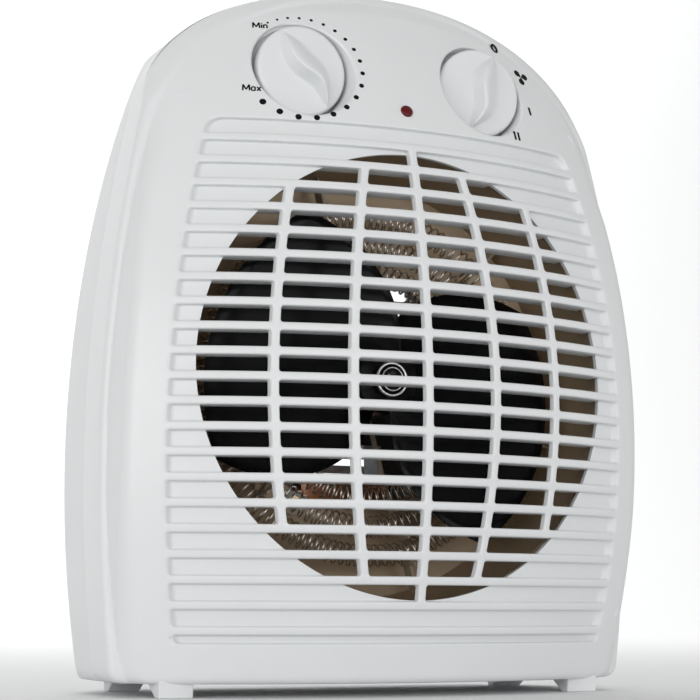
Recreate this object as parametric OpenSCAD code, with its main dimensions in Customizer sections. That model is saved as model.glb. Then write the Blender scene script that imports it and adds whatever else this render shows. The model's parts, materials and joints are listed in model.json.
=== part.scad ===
// Upright 2 kW fan heater: two-part moulded body, rib grille, two rotary controls, open coils, axial fan.
// Frame: X to the right seen from the front, Y towards the back, Z up, origin on the floor under the middle.

/* [Body] */
// Width across the widest part of the body
body_w = 221; // [210:1:230]
// Depth from the crown of the grille to the back
body_d = 126; // [120:1:140]
// Height of the body's crown above the floor
body_h = 271.5; // [268:0.5:280]
// Wall thickness of both mouldings
wall = 2.5; // [2:0.1:3]
// Height of the feet
foot_h = 5; // [4:0.5:8]
// Distance from the frame's middle plane to the joint between the two mouldings
joint_y = 2; // [-2:0.5:6]
// How far the front face stands in from the side
side_step = 3.5; // [2:0.25:5]

/* [Grille] */
// Number of horizontal ribs
rib_count = 21; // [19:1:22]
// Distance from one rib to the next
rib_pitch = 9; // [8.5:0.1:9.2]
// Height of a rib's face
rib_h = 3; // [2.5:0.1:3.5]
// Depth of the pockets between the ribs
pocket_d = 3; // [2:0.25:3.5]
// Width of the five upright bars
bar_w = 3; // [2.5:0.1:4]
// Diameter of the air outlet
outlet_d = 166.4; // [150:0.2:168]

/* [Controls] */
// Diameter of both knobs
knob_d = 35.4; // [34:0.2:36]
// Distance of each knob from the middle
knob_x = 37.8; // [37:0.2:39]
// Height of the knobs above the floor
knob_z = 233.5; // [232:0.5:235]
// Distance from the frame's middle plane forward to the knobs' rims
knob_reach = 30.7; // [29.5:0.1:32]
// Angle that the knob axes lean upwards
knob_lean = 3; // [0:1:8]
// Angle that each knob axis turns outwards
knob_turn = 1; // [0:1:4]
// Diameter of the control spindles
spindle_d = 6; // [5:0.5:6.5]
// Diameter of the indicator lens
lens_d = 5; // [4:0.25:6]

/* [Fan] */
// Diameter across the blade tips
fan_d = 144; // [130:1:146]
// Number of blades
blade_count = 2; // [2:1:3]
// Depth of the blades along the axis
blade_depth = 18; // [14:1:19]
// Thickness of a blade
blade_t = 1.8; // [1.4:0.1:2.4]
// Diameter of the motor shaft
shaft_d = 5; // [4:0.5:6]

/* [Heater] */
// Radius of the outer coil ring
coil_r = 66; // [62:0.5:66.5]
// Distance from one coil ring to the next
coil_step = 11; // [10:0.5:11.5]
// Outer diameter of the coiled wire
coil_d = 9; // [7:0.5:9.4]
// Number of mica vanes
vane_count = 6; // [4:1:8]
// Radius of the element pan at its front
pan_r = 86; // [84.5:0.5:86.5]

/* [Hidden] */
$fn = 96;

// Front dome: a torus whose big circle stands upright
dome_rv = 340;
dome_rh = 212;
dome_z = 104.4;
front_y = -body_d / 2;
back_y = body_d / 2;
dome_axis_y = front_y + dome_rv;

// Outline of the body seen from the front
belly_z = 85.4;
side_r = 600;
shoulder_z = 220.4;
corner_r = 5;
crown_pow = 2.6;
crown_root = 2.3;
face_h = body_h - 2;
face_back_y = -20;

// Grille
rib_z0 = 25.4;
inset_bottom_z = rib_z0 - rib_h - 3;
inset_top_z = rib_z0 + rib_pitch * rib_count - rib_h;
axis_z = 118;
floor_t = 2;
bar_x = [57.6, 29];
bar_bend_r = [304, 376];

// Rear intake
intake_r = 70;
intake_pitch = 8;
intake_slot = 4.6;

// Rounding of the rear moulding
back_edge_r = 61;
back_taper_r = 430;
back_flare = 6.5;
back_foot_r = 25;
back_crown_r = 36;

// Carry grip
grip_w = 92;
grip_h = 24;
grip_z = 226;
grip_y = 38;

// Case screws and their bosses
case_screw_xz = [[94, 32], [-94, 32], [80, 218], [-80, 218]];
boss_d = 9;
case_screw_d = 3;
case_head_d = 6.6;
case_head_y = 12;

// Cord inlet
inlet_x = -44;
inlet_z = 40;
inlet_d = 14;
cord_bore_d = 7.4;
clamp_y = 46;
clamp_screw_x = 11;

// Controls
seat_r = knob_d / 2 + 1.1;
seat_flare = 1;
seat_floor = -8.2;
seat_t = 2.4;
knob_base = -6.5;
ridge_top = 6.3;
ridge_ball_r = 22;
spindle_top = 2.6;
run_gap = 0.05;
control_screw_r = 12.5;
lens_z = 218.9;
lens_lean = 20;

// Fan and shaft
fan_front_y = -34;
hub_r = 13;
hub_front_y = -27;
hub_back_y = -14.5;
blade_root_r = hub_r - 1.5;
collar_r = 5.4;
collar_front_y = -31;
shaft_front_y = -28.5;
shaft_back_y = 48;

// Element pan
pan_t = 0.8;
pan_front_y = -36;
pan_wall_y = 1;
pan_back_r = 82;
pan_cone_r = 58;
pan_back_y = 6;
pan_hole_r = 48;
pan_ear_r = 91;
pan_ear_d = 9;
coil_y = -8;
coil_radii = [for (i = [0:2]) coil_r - i * coil_step];
vane_t = 0.8;
vane_angle = 45;
vane_front_y = -12.5;
vane_back_y = -0.5;
bush_r = 53;
bush_angles = [200, 211, 240];

// Motor
bridge_t = 1.2;
bridge_y = pan_back_y + pan_t;
motor_screw_x = 24;
spacer_len = 4;
bracket_y = bridge_y + bridge_t + spacer_len;
bracket_t = 3;
pillar_len = 5;
stator_y = bracket_y + bracket_t + pillar_len;
stator_len = 16;
rotor_d = 26;
stator_bore_d = 26.8;
bearing_d = 11;
bearing_len = 7;

// Half width of the outline at height z
function half_w(z, w, bottom, top) =
  let (side = w / 2 - pow(z - belly_z, 2) / (2 * side_r),
       rise = min(1, max(0, (z - shoulder_z) / (top - shoulder_z))),
       dip = min(1, max(0, (bottom + corner_r - z) / corner_r)))
  side * pow(1 - pow(rise, crown_pow), 1 / crown_root) - corner_r * (1 - sqrt(1 - dip * dip));

// Heights at which the outline has points, closer together round the corners
function outline_z(bottom, top) =
  let (side_z = bottom + corner_r)
  concat(
    [for (a = [0:22.5:67.5]) side_z - corner_r * cos(a)],
    [for (i = [0:6]) side_z + (shoulder_z - side_z) * i / 6],
    [for (a = [9:9:81]) shoulder_z + (top - shoulder_z) * sin(a)],
    [top - 0.25]);

function outline(w, bottom, top) =
  let (zs = outline_z(bottom, top), last = len(zs) - 1)
  concat(
    [for (z = zs) [half_w(z, w, bottom, top), z]],
    [[0, top]],
    [for (i = [last:-1:0]) [-half_w(zs[i], w, bottom, top), zs[i]]]);

// Extrudes a shape drawn in X and Z from y0 to y1
module along_y(y0, y1) {
  translate([0, y1, 0])
    rotate([90, 0, 0])
      linear_extrude(y1 - y0)
        children();
}

// Places a turned shape with its axis along Y, its own Z pointing to the back
module on_axis(x, y, z) {
  translate([x, y, z])
    rotate([-90, 0, 0])
      children();
}

module tube(r_out, r_in, len) {
  difference() {
    cylinder(r = r_out, h = len);
    translate([0, 0, -1])
      cylinder(r = r_in, h = len + 2);
  }
}

// Body outline shrunk by inset, from y0 to y1
module body_slab(w, top, inset, y0, y1) {
  along_y(y0, y1)
    polygon(outline(w - 2 * inset, foot_h + inset, top - inset));
}

// Everything behind the front dome moved back by depth
module behind_dome(depth) {
  translate([0, dome_axis_y, dome_z])
    rotate([0, 90, 0])
      rotate_extrude($fn = 180)
        intersection() {
          translate([dome_rv - dome_rh, 0])
            circle(r = dome_rh - depth, $fn = 180);
          translate([dome_rv - 95, -130])
            square([110, 260]);
        }
}

// Field of pockets: the barrel-shaped inset with rounded corners, grown by margin
module inset_field(margin) {
  intersection() {
    translate([93.5 - 420 + margin, 92])
      circle(r = 420, $fn = 180);
    translate([420 - 93.5 - margin, 92])
      circle(r = 420, $fn = 180);
    translate([-100, inset_bottom_z - margin])
      square([200, inset_top_z - inset_bottom_z + 2 * margin]);
  }
}

module rib_gaps() {
  for (k = [0:rib_count])
    translate([-110, rib_z0 + rib_pitch * (k - 1)])
      square([220, rib_pitch - rib_h]);
}

// The middle bar is straight and the outer four bow outwards like meridians
module upright_bars() {
  translate([-bar_w / 2, 0])
    square([bar_w, body_h]);
  for (side = [-1, 1])
    for (i = [0:1])
      intersection() {
        translate([side * (bar_x[i] - bar_bend_r[i]), axis_z - 6])
          difference() {
            circle(r = bar_bend_r[i] + bar_w / 2, $fn = 180);
            circle(r = bar_bend_r[i] - bar_w / 2, $fn = 180);
          }
        translate([side > 0 ? 0 : -100, 0])
          square([100, body_h]);
      }
}

module outlet_circle() {
  translate([0, axis_z])
    circle(d = outlet_d);
}

// Gaps between the ribs, crossed by the upright bars inside the outlet circle
module pockets() {
  difference() {
    intersection() {
      inset_field(0);
      rib_gaps();
    }
    intersection() {
      outlet_circle();
      upright_bars();
    }
  }
}

// Depth of the dome's surface at x and z
function dome_y(x, z) =
  dome_axis_y - sqrt(pow(dome_rv - dome_rh + sqrt(pow(dome_rh, 2) - x * x), 2) - pow(z - dome_z, 2));

// Screw boss that starts inside the dome's wall and ends at y1
module boss(x, z, d, start, y1) {
  y0 = dome_y(x, z) + start;
  on_axis(x, y0, z)
    cylinder(d = d, h = y1 - y0);
}

// Local frame of a control: Z points out of the panel along the spindle
module at_knob(side) {
  translate([side * knob_x, -knob_reach, knob_z])
    rotate([90 - knob_lean, 0, side * knob_turn])
      children();
}

module at_lens() {
  translate([0, dome_y(0, lens_z), lens_z])
    rotate([90 - lens_lean, 0, 0])
      children();
}

// One foot: an upright post with a web that slopes away from it
module foot(x, y, back) {
  translate([x - 6.5, y, 0])
    mirror([0, back, 0])
      rotate([90, 0, 90])
        linear_extrude(13)
          polygon([[0.4, 0], [5, 0], [15, foot_h + 1], [0, foot_h + 1]]);
}

module control_screw_spots() {
  for (s = [-1, 1])
    translate([s * control_screw_r, 0, 0])
      children();
}

module front_shell() {
  color("white")
    difference() {
      union() {
        difference() {
          intersection() {
            union() {
              body_slab(body_w - 2 * side_step, face_h, 0, front_y - 5, face_back_y);
              body_slab(body_w, body_h, 0, face_back_y - 1, joint_y);
            }
            behind_dome(0);
          }
          difference() {
            intersection() {
              union() {
                body_slab(body_w - 2 * side_step, face_h, wall, front_y - 5, face_back_y + 1);
                body_slab(body_w, body_h, wall, face_back_y + 1, joint_y + 1);
              }
              behind_dome(wall);
            }
            difference() {
              along_y(front_y - 5, joint_y)
                inset_field(wall);
              behind_dome(pocket_d + floor_t);
            }
          }
        }
        intersection() {
          for (side = [-1, 1])
            at_knob(side)
              translate([0, 0, seat_floor - seat_t])
                cylinder(r = seat_r + 2, h = 30);
          behind_dome(wall / 2);
        }
        for (p = case_screw_xz)
          boss(p[0], p[1], boss_d, wall - 0.3, joint_y);
        for (a = [45:90:315])
          boss(pan_ear_r * cos(a), axis_z + pan_ear_r * sin(a), pan_ear_d, pocket_d + floor_t - 0.3,
            pan_front_y);
        for (side = [-1, 1])
          foot(side * 83.5, -28, 0);
      }
      difference() {
        along_y(front_y - 5, 0)
          pockets();
        behind_dome(pocket_d);
      }
      along_y(front_y - 5, pan_front_y - 1)
        intersection() {
          pockets();
          outlet_circle();
        }
      for (side = [-1, 1])
        at_knob(side) {
          translate([0, 0, seat_floor])
            cylinder(r1 = seat_r, r2 = seat_r + seat_flare, h = 25);
          translate([0, 0, seat_floor - 5])
            cylinder(d = spindle_d + 2, h = 10);
          control_screw_spots()
            translate([0, 0, seat_floor - 5])
              cylinder(d = 3.3, h = 10);
        }
      at_lens()
        translate([0, 0, -10])
          cylinder(d = lens_d + 0.1, h = 20);
      for (p = case_screw_xz)
        on_axis(p[0], joint_y - 16, p[1])
          cylinder(d = case_screw_d + 0.1, h = 20);
      for (a = [45:90:315])
        on_axis(pan_ear_r * cos(a), pan_front_y - 4.5, axis_z + pan_ear_r * sin(a))
          cylinder(d = 3.1, h = 6);
    }
}

// Flat shape from x0 to x1 that ends at y1 with rounded corners
module round_end(x0, x1, y1, r0, r1) {
  y0 = joint_y - 5;
  translate([x0, y0])
    square([x1 - x0 - r1, y1 - r0 - y0]);
  translate([x0 + r0, y0])
    square([x1 - x0 - r0, y1 - r1 - y0]);
  translate([x0 + r0, y0])
    square([x1 - x0 - r0 - r1, y1 - y0]);
  translate([x0 + r0, y1 - r0])
    circle(r = r0);
  translate([x1 - r1, y1 - r1])
    circle(r = r1);
}

// Round bowl whose rim follows one side of the body and draws in towards the crown
module side_bowl(side, inset) {
  translate([side * (body_w / 2 - back_taper_r), 0, belly_z])
    rotate([-90, 0, 0])
      rotate_extrude()
        round_end(back_taper_r / 4, back_taper_r + back_flare - inset, back_y - inset,
          1, back_edge_r - inset);
}

// Rear moulding's solid, shrunk by inset: the outline with its back edges rounded
module rear_solid(inset) {
  intersection() {
    body_slab(body_w, body_h, inset, joint_y - 1, back_y - inset);
    side_bowl(-1, inset);
    side_bowl(1, inset);
    rotate([0, -90, 0])
      linear_extrude(body_w + 10, center = true)
        round_end(foot_h + inset, body_h - inset, back_y - inset,
          back_foot_r - inset, back_crown_r - inset);
  }
}

module intake_slots() {
  intersection() {
    difference() {
      translate([0, axis_z])
        circle(r = intake_r);
      for (x = [-36, 0, 36])
        translate([x - 1.75, 0])
          square([3.5, body_h]);
    }
    for (k = [-9:9])
      translate([-80, axis_z + k * intake_pitch - intake_slot / 2])
        square([160, intake_slot]);
  }
}

module rear_shell() {
  color("white")
    difference() {
      union() {
        difference() {
          rear_solid(0);
          difference() {
            rear_solid(wall);
            translate([-grip_w / 2 - wall, grip_y - wall, grip_z - wall])
              cube([grip_w + 2 * wall, body_d, grip_h + 2 * wall]);
          }
          translate([-body_w, joint_y - 5, 0])
            cube([2 * body_w, 5, 2 * body_h]);
        }
        for (p = case_screw_xz)
          intersection() {
            on_axis(p[0], joint_y, p[1])
              cylinder(d = boss_d + 3, h = body_d);
            rear_solid(wall / 2);
          }
        for (side = [-1, 1])
          foot(side * 83.5, 38, 1);
        for (s = [-1, 1])
          translate([inlet_x + s * clamp_screw_x, clamp_y, foot_h + 1.5])
            cylinder(d = 7, h = inlet_z + 1 - foot_h - 1.5);
      }
      translate([-grip_w / 2, grip_y, grip_z])
        cube([grip_w, body_d, grip_h]);
      along_y(back_y - 10, back_y + 5)
        intake_slots();
      for (p = case_screw_xz) {
        on_axis(p[0], joint_y - 1, p[1])
          cylinder(d = case_screw_d + 0.8, h = 20);
        on_axis(p[0], case_head_y, p[1])
          cylinder(d = case_head_d + 1.4, h = body_d);
      }
      on_axis(inlet_x, back_y - 12, inlet_z)
        cylinder(d = inlet_d + 0.1, h = 20);
      for (s = [-1, 1])
        translate([inlet_x + s * clamp_screw_x, clamp_y, inlet_z - 9])
          cylinder(d = 3.1, h = 20);
      translate([-body_w, joint_y - 5, -10])
        cube([2 * body_w, 5, 2 * body_h]);
    }
}

// S-shaped finger ridge with pointed ends
module ridge_outline() {
  half = knob_d / 2 - 0.9;
  function mid(t) = 0.6 + 3.3 * exp(-pow((t + 0.35) / 0.45, 2));
  function half_t(t) = 6.4 * (1 - pow(abs(t), t > 0 ? 2.6 : 1.3));
  ts = [for (i = [-10:10]) i / 10];
  polygon(concat(
    [for (t = ts) [mid(t) + half_t(t), half * t]],
    [for (i = [19:-1:1]) [mid(ts[i]) - half_t(ts[i]), half * ts[i]]]));
}

// Knob: a deep disc with a finger ridge and a bore for the spindle
module knob() {
  difference() {
    union() {
      translate([0, 0, knob_base])
        cylinder(d = knob_d, h = -knob_base);
      intersection() {
        translate([0, 0, knob_base])
          linear_extrude(ridge_top - knob_base)
            ridge_outline();
        translate([-3, 1, ridge_top - ridge_ball_r])
          sphere(r = ridge_ball_r, $fn = 180);
      }
    }
    translate([0, 0, knob_base - 1])
      cylinder(d = spindle_d + 0.04, h = spindle_top + 1.4 - knob_base);
  }
}

module thermostat_knob() {
  color("white")
    at_knob(-1)
      rotate([0, 0, 33])
        knob();
}

module switch_knob() {
  color("white")
    at_knob(1)
      rotate([0, 0, -22])
        knob();
}

// Spindle with a collar, running in the control's own bush
module spindle(inner_len) {
  difference() {
    union() {
      translate([0, 0, seat_floor - seat_t - inner_len])
        cylinder(d = spindle_d, h = inner_len + seat_t + spindle_top - seat_floor);
      translate([0, 0, seat_floor - seat_t - inner_len])
        cylinder(d = spindle_d + 4, h = 1.5);
    }
    translate([spindle_d / 2 - 1, -5, seat_floor + 2])
      cube([5, 10, 12]);
  }
}

module thermostat_spindle() {
  color("gold")
    at_knob(-1)
      spindle(12);
}

module switch_spindle() {
  color("gray")
    at_knob(1)
      spindle(14);
}

// Body of a control with a bush, two screw holes and flat terminals
module control_body(w, h, depth, terminals) {
  top = seat_floor - seat_t;
  difference() {
    union() {
      translate([-w / 2, -h / 2, top - depth])
        cube([w, h, depth]);
      for (i = [0:terminals - 1])
        translate([(i - (terminals - 1) / 2) * 8 - 3, -h / 2 - 7, top - depth + 2])
          cube([6, 8, 0.8]);
    }
    translate([0, 0, top - depth - 1])
      cylinder(d = spindle_d + 2 * run_gap, h = depth + 2);
    translate([0, 0, top - depth - 1])
      cylinder(d = spindle_d + 5, h = 4);
    control_screw_spots()
      translate([0, 0, top - 8])
        cylinder(d = 3.1, h = 10);
  }
}

module thermostat_body() {
  color("tan")
    at_knob(-1)
      control_body(31, 17, 13.5, 2);
}

module switch_body() {
  color("ivory")
    at_knob(1)
      control_body(32, 27, 15.5, 4);
}

// Bimetal strip under the thermostat
module thermostat_blade() {
  color("silver")
    at_knob(-1)
      translate([0, -10.5, seat_floor - seat_t - 5]) {
        translate([-4, 0, 0])
          cube([8, 2, 4.8]);
        translate([-3.5, -20, 1])
          cube([7, 20.5, 0.8]);
      }
}

module control_screws() {
  color("silver")
    for (side = [-1, 1])
      at_knob(side)
        control_screw_spots() {
          translate([0, 0, seat_floor])
            cylinder(d = 5.4, h = 1.4);
          translate([0, 0, seat_floor - seat_t - 6.5])
            cylinder(d = 3, h = seat_t + 7);
        }
}

module indicator_lens() {
  color("darkred")
    at_lens()
      rotate_extrude()
        polygon(concat(
          [[0, -5.2], [3.2, -5.2], [3.2, -3.6], [lens_d / 2, -3.6], [lens_d / 2, 0.3]],
          [for (a = [15:15:90]) [lens_d / 2 * cos(a), 0.3 + 0.9 * sin(a)]]));
}

module neon_lamp() {
  color("orange")
    at_lens()
      translate([0, 0, -5.4]) {
        translate([0, 0, -9])
          cylinder(d = 4, h = 9);
        translate([0, 0, -12])
          cylinder(d = 3, h = 3.5);
        for (s = [-1, 1])
          translate([s, 0, -20])
            cylinder(d = 0.6, h = 9);
      }
}

module element_pan() {
  color([0.62, 0.5, 0.36])
    difference() {
      union() {
        on_axis(0, 0, axis_z)
          rotate_extrude($fn = 144)
            polygon([
              [89, pan_front_y], [pan_r, pan_front_y], [pan_back_r, pan_wall_y],
              [pan_cone_r, pan_back_y], [pan_hole_r, pan_back_y],
              [pan_hole_r, pan_back_y + pan_t], [pan_cone_r, pan_back_y + pan_t],
              [pan_back_r + pan_t, pan_wall_y + pan_t], [pan_r + pan_t, pan_front_y + pan_t],
              [89, pan_front_y + pan_t]]);
        for (a = [45:90:315])
          on_axis(pan_ear_r * cos(a), pan_front_y, axis_z + pan_ear_r * sin(a))
            cylinder(d = pan_ear_d, h = pan_t);
      }
      for (a = [45:90:315])
        on_axis(pan_ear_r * cos(a), pan_front_y - 1, axis_z + pan_ear_r * sin(a))
          cylinder(d = 3.4, h = 4);
      for (x = [-bush_r, bush_r])
        on_axis(x, pan_back_y - 1, axis_z)
          cylinder(d = 3.4, h = 4);
      for (a = bush_angles)
        on_axis(bush_r * cos(a), pan_back_y - 1, axis_z + bush_r * sin(a))
          cylinder(d = 6.1, h = 4);
      for (i = [0:vane_count - 1])
        translate([0, 0, axis_z])
          rotate([0, -i * 360 / vane_count - vane_angle, 0])
            translate([75, vane_back_y - 8.2, -vane_t / 2 - 0.2])
              cube([15, 6.4, vane_t + 0.4]);
    }
}

module pan_screws() {
  color("silver")
    for (a = [45:90:315])
      on_axis(pan_ear_r * cos(a), 0, axis_z + pan_ear_r * sin(a)) {
        translate([0, 0, pan_front_y + pan_t])
          cylinder(d = 5.6, h = 1.8);
        translate([0, 0, pan_front_y - 4])
          cylinder(d = 3, h = 5);
      }
}

// Mica vanes: radial strips with a notch for every coil ring and a tab through the pan
module mica_vanes() {
  color([0.78, 0.74, 0.66])
    difference() {
      for (i = [0:vane_count - 1])
        translate([0, 0, axis_z])
          rotate([0, -i * 360 / vane_count - vane_angle, 0]) {
            translate([38, vane_front_y, -vane_t / 2])
              cube([34, vane_back_y - vane_front_y, vane_t]);
            translate([0, vane_back_y - 3, -vane_t / 2])
              cube([72, 3, vane_t]);
            translate([71, vane_back_y - 8, -vane_t / 2])
              cube([14.5, 6, vane_t]);
          }
      on_axis(0, vane_back_y - 10, axis_z)
        cylinder(r = 5, h = 20);
      on_axis(0, 0, axis_z)
        rotate_extrude()
          for (r = coil_radii) {
            translate([r, coil_y])
              circle(d = coil_d + 0.4);
            translate([r - coil_d / 2 - 0.2, vane_front_y - 5])
              square([coil_d + 0.4, coil_y - vane_front_y + 5]);
          }
    }
}

// One coil ring as a plain ring of the coil's outer diameter
module coil_ring(r) {
  color([0.75, 0.72, 0.68])
    on_axis(0, coil_y, axis_z)
      rotate_extrude($fn = 144)
        translate([r, 0])
          circle(d = coil_d, $fn = 48);
}

module heating_coil_outer() {
  coil_ring(coil_radii[0]);
}

module heating_coil_middle() {
  coil_ring(coil_radii[1]);
}

module heating_coil_inner() {
  coil_ring(coil_radii[2]);
}

module at_bushes() {
  for (a = bush_angles)
    on_axis(bush_r * cos(a), 0, axis_z + bush_r * sin(a))
      children();
}

// Ceramic bushes that carry the terminal posts through the pan
module ceramic_bushes() {
  color("ivory")
    at_bushes()
      difference() {
        union() {
          translate([0, 0, pan_back_y - 4])
            cylinder(d = 9, h = 4);
          translate([0, 0, pan_back_y])
            cylinder(d = 6, h = 5);
        }
        translate([0, 0, pan_back_y - 5])
          cylinder(d = 2.7, h = 12);
      }
}

module terminal_posts() {
  color("gold")
    at_bushes() {
      translate([0, 0, pan_back_y - 7])
        cylinder(d = 2.6, h = 16);
      translate([0, 0, pan_back_y - 5.6])
        cylinder(d = 5, h = 1.6);
      translate([0, 0, pan_back_y + 5])
        cylinder(d = 5, h = 1.6);
    }
}

// Bimetal cut-out on the front of the bridge, under the inner coil
module thermal_cutout() {
  color("black")
    translate([-38, 0, axis_z]) {
      on_axis(0, bridge_y - 6.6, 0)
        cylinder(d = 14, h = 6.6 - pan_t);
      for (s = [-1, 1])
        translate([-3, bridge_y - 4.2, s > 0 ? 6 : -14])
          cube([6, 0.8, 8]);
    }
}

// Axial thermal fuse with its two leads
module thermal_fuse() {
  color("white")
    translate([38, bridge_y - 4.5, axis_z - 6]) {
      cylinder(d = 4, h = 12);
      translate([0, 0, -9])
        cylinder(d = 0.9, h = 30);
    }
}

// Steel strap across the pan's hole that carries the motor
module motor_bridge() {
  color("silver")
    difference() {
      translate([-57, bridge_y, axis_z - 8])
        cube([114, bridge_t, 16]);
      on_axis(0, bridge_y - 1, axis_z)
        cylinder(d = 12, h = 4);
      for (x = [-bush_r, -motor_screw_x, motor_screw_x, bush_r])
        on_axis(x, bridge_y - 1, axis_z)
          cylinder(d = abs(x) == motor_screw_x ? 4.3 : 3.1, h = 4);
    }
}

module bridge_screws() {
  color("silver")
    for (x = [-bush_r, bush_r])
      on_axis(x, 0, axis_z) {
        translate([0, 0, pan_back_y - 1.8])
          cylinder(d = 5.6, h = 1.8);
        translate([0, 0, pan_back_y - 1])
          cylinder(d = 3, h = 6);
      }
}

module at_motor_screws(y) {
  for (x = [-motor_screw_x, motor_screw_x])
    on_axis(x, y, axis_z)
      children();
}

module motor_spacers() {
  color("silver")
    at_motor_screws(bridge_y + bridge_t)
      tube(4.5, 2.15, spacer_len);
}

// End bracket: a bar with two pillars and a pocket for the bearing
module end_bracket() {
  difference() {
    union() {
      translate([-29, -7, 0])
        cube([58, 14, bracket_t]);
      for (x = [-motor_screw_x, motor_screw_x])
        translate([x, 0, 0])
          cylinder(d = 9, h = bracket_t + pillar_len);
      translate([0, 0, -3])
        cylinder(d = 16, h = bearing_len + 1);
    }
    translate([0, 0, -2])
      cylinder(d = bearing_d, h = bearing_len + 3);
    translate([0, 0, -4])
      cylinder(d = shaft_d + 2, h = 4);
    for (x = [-motor_screw_x, motor_screw_x])
      translate([x, 0, -1])
        cylinder(d = 4.3, h = 12);
  }
}

module front_bracket() {
  color("lightgray")
    on_axis(0, bracket_y, axis_z)
      end_bracket();
}

module rear_bracket() {
  color("lightgray")
    on_axis(0, stator_y + stator_len + pillar_len + bracket_t, axis_z)
      mirror([0, 0, 1])
        end_bracket();
}

module motor_bearings() {
  back = stator_y + stator_len + pillar_len + bracket_t;
  color("peru")
    for (y = [bracket_y - 2, back + 2 - bearing_len])
      on_axis(0, y, axis_z)
        tube(bearing_d / 2, shaft_d / 2 + 0.03, bearing_len);
}

// Laminated C-frame with the rotor bore above and the winding leg below
module motor_stator() {
  color("dimgray")
    along_y(stator_y, stator_y + stator_len)
      difference() {
        union() {
          translate([-30, axis_z - 20])
            square([60, 38]);
          translate([-30, axis_z - 52])
            square([60, 33]);
        }
        translate([-19, axis_z - 41])
          square([38, 20]);
        translate([0, axis_z])
          circle(d = stator_bore_d);
        for (x = [-motor_screw_x, motor_screw_x])
          translate([x, axis_z])
            circle(d = 4.3);
      }
}

// Winding on its bobbin, round the lower leg of the frame
module motor_winding() {
  y_mid = stator_y + stator_len / 2;
  color("chocolate")
    difference() {
      translate([-18.6, y_mid - 15, axis_z - 58])
        cube([37.2, 30, 23]);
      translate([-30, stator_y - 0.1, axis_z - 52.1])
        cube([60, stator_len + 0.2, 11.2]);
    }
}

module motor_rotor() {
  color("silver")
    on_axis(0, 0, axis_z)
      difference() {
        union() {
          translate([0, 0, stator_y])
            cylinder(d = rotor_d, h = stator_len);
          translate([0, 0, stator_y - 2])
            cylinder(d = rotor_d - 3, h = stator_len + 4);
        }
        translate([0, 0, stator_y - 5])
          cylinder(d = shaft_d + 0.02, h = stator_len + 10);
      }
}

module thrust_washers() {
  color("saddlebrown")
    for (y = [stator_y - 3, stator_y + stator_len + 2.1])
      on_axis(0, y, axis_z)
        tube(4.5, shaft_d / 2 + 0.06, 0.9);
}

module motor_shaft() {
  color("silver")
    on_axis(0, shaft_front_y, axis_z)
      cylinder(d = shaft_d, h = shaft_back_y - shaft_front_y);
}

module motor_screws() {
  back = stator_y + stator_len + pillar_len + bracket_t;
  color("silver")
    at_motor_screws(0) {
      translate([0, 0, bridge_y - 2.6])
        cylinder(d = 7, h = 2.6);
      translate([0, 0, bridge_y - 1])
        cylinder(d = 4, h = back - bridge_y + 5);
      translate([0, 0, back])
        cylinder(d = 7, h = 3, $fn = 6);
    }
}

// Blade edges as angles at radius r, seen from the front
function blade_low(r) = -59 - 0.7 * (fan_d / 2 - r);
function blade_high(r) = 19 + 0.95 * (fan_d / 2 - r);

// Point of a blade: u runs across the blade, v from the hub to the tip, side is the front or back face
function blade_point(u, v, side) =
  let (r = blade_root_r + (fan_d / 2 - blade_root_r) * v,
       a = blade_low(r) + (blade_high(r) - blade_low(r)) * u)
  [r * cos(a), fan_front_y + blade_depth * u + side * blade_t, r * sin(a)];

// One blade: a helicoid sheet of even thickness
module blade() {
  nu = 12;
  nv = 6;
  row = nv + 1;
  sheet = (nu + 1) * row;
  points = [
    for (side = [0, 1])
      for (i = [0:nu])
        for (j = [0:nv])
          blade_point(i / nu, j / nv, side)];
  faces = concat(
    [for (i = [0:nu - 1]) for (j = [0:nv - 1]) each
      let (a = i * row + j, b = a + row)
      [[a, b + 1, a + 1], [a, b, b + 1],
       [a + sheet, a + 1 + sheet, b + 1 + sheet], [a + sheet, b + 1 + sheet, b + sheet]]],
    [for (i = [0:nu - 1]) each
      let (a = i * row, b = a + row, c = a + nv, d = c + row)
      [[a, b + sheet, b], [a, a + sheet, b + sheet],
       [c, d, d + sheet], [c, d + sheet, c + sheet]]],
    [for (j = [0:nv - 1]) each
      let (a = j, b = nu * row + j)
      [[a, a + 1, a + 1 + sheet], [a, a + 1 + sheet, a + sheet],
       [b, b + 1 + sheet, b + 1], [b, b + sheet, b + 1 + sheet]]]);
  polyhedron(points = points, faces = faces, convexity = 4);
}

module fan_impeller() {
  color([0.08, 0.08, 0.09])
    difference() {
      union() {
        translate([0, 0, axis_z])
          for (i = [0:blade_count - 1])
            rotate([0, i * 360 / blade_count, 0])
              blade();
        on_axis(0, 0, axis_z) {
          translate([0, 0, hub_front_y])
            cylinder(r = hub_r, h = hub_back_y - hub_front_y);
          translate([0, 0, collar_front_y])
            cylinder(r = collar_r, h = 6);
        }
      }
      on_axis(0, -60, axis_z)
        cylinder(d = shaft_d + 0.04, h = 60);
    }
}

module hub_clip() {
  color("silver")
    on_axis(0, collar_front_y + 0.6, axis_z)
      tube(collar_r + 1.1, collar_r + 0.02, 3);
}

// Three-pole connector block on the floor of the rear moulding
module terminal_block() {
  color("ivory")
    translate([-58, 20, foot_h + wall])
      difference() {
        union() {
          cube([32, 17, 6]);
          for (i = [0:2])
            translate([1 + i * 10.5, 1, 5])
              cube([9, 15, 8]);
        }
        for (i = [0:2])
          translate([5.5 + i * 10.5, -1, 9])
            rotate([-90, 0, 0])
              cylinder(d = 4, h = 20);
      }
}

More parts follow.
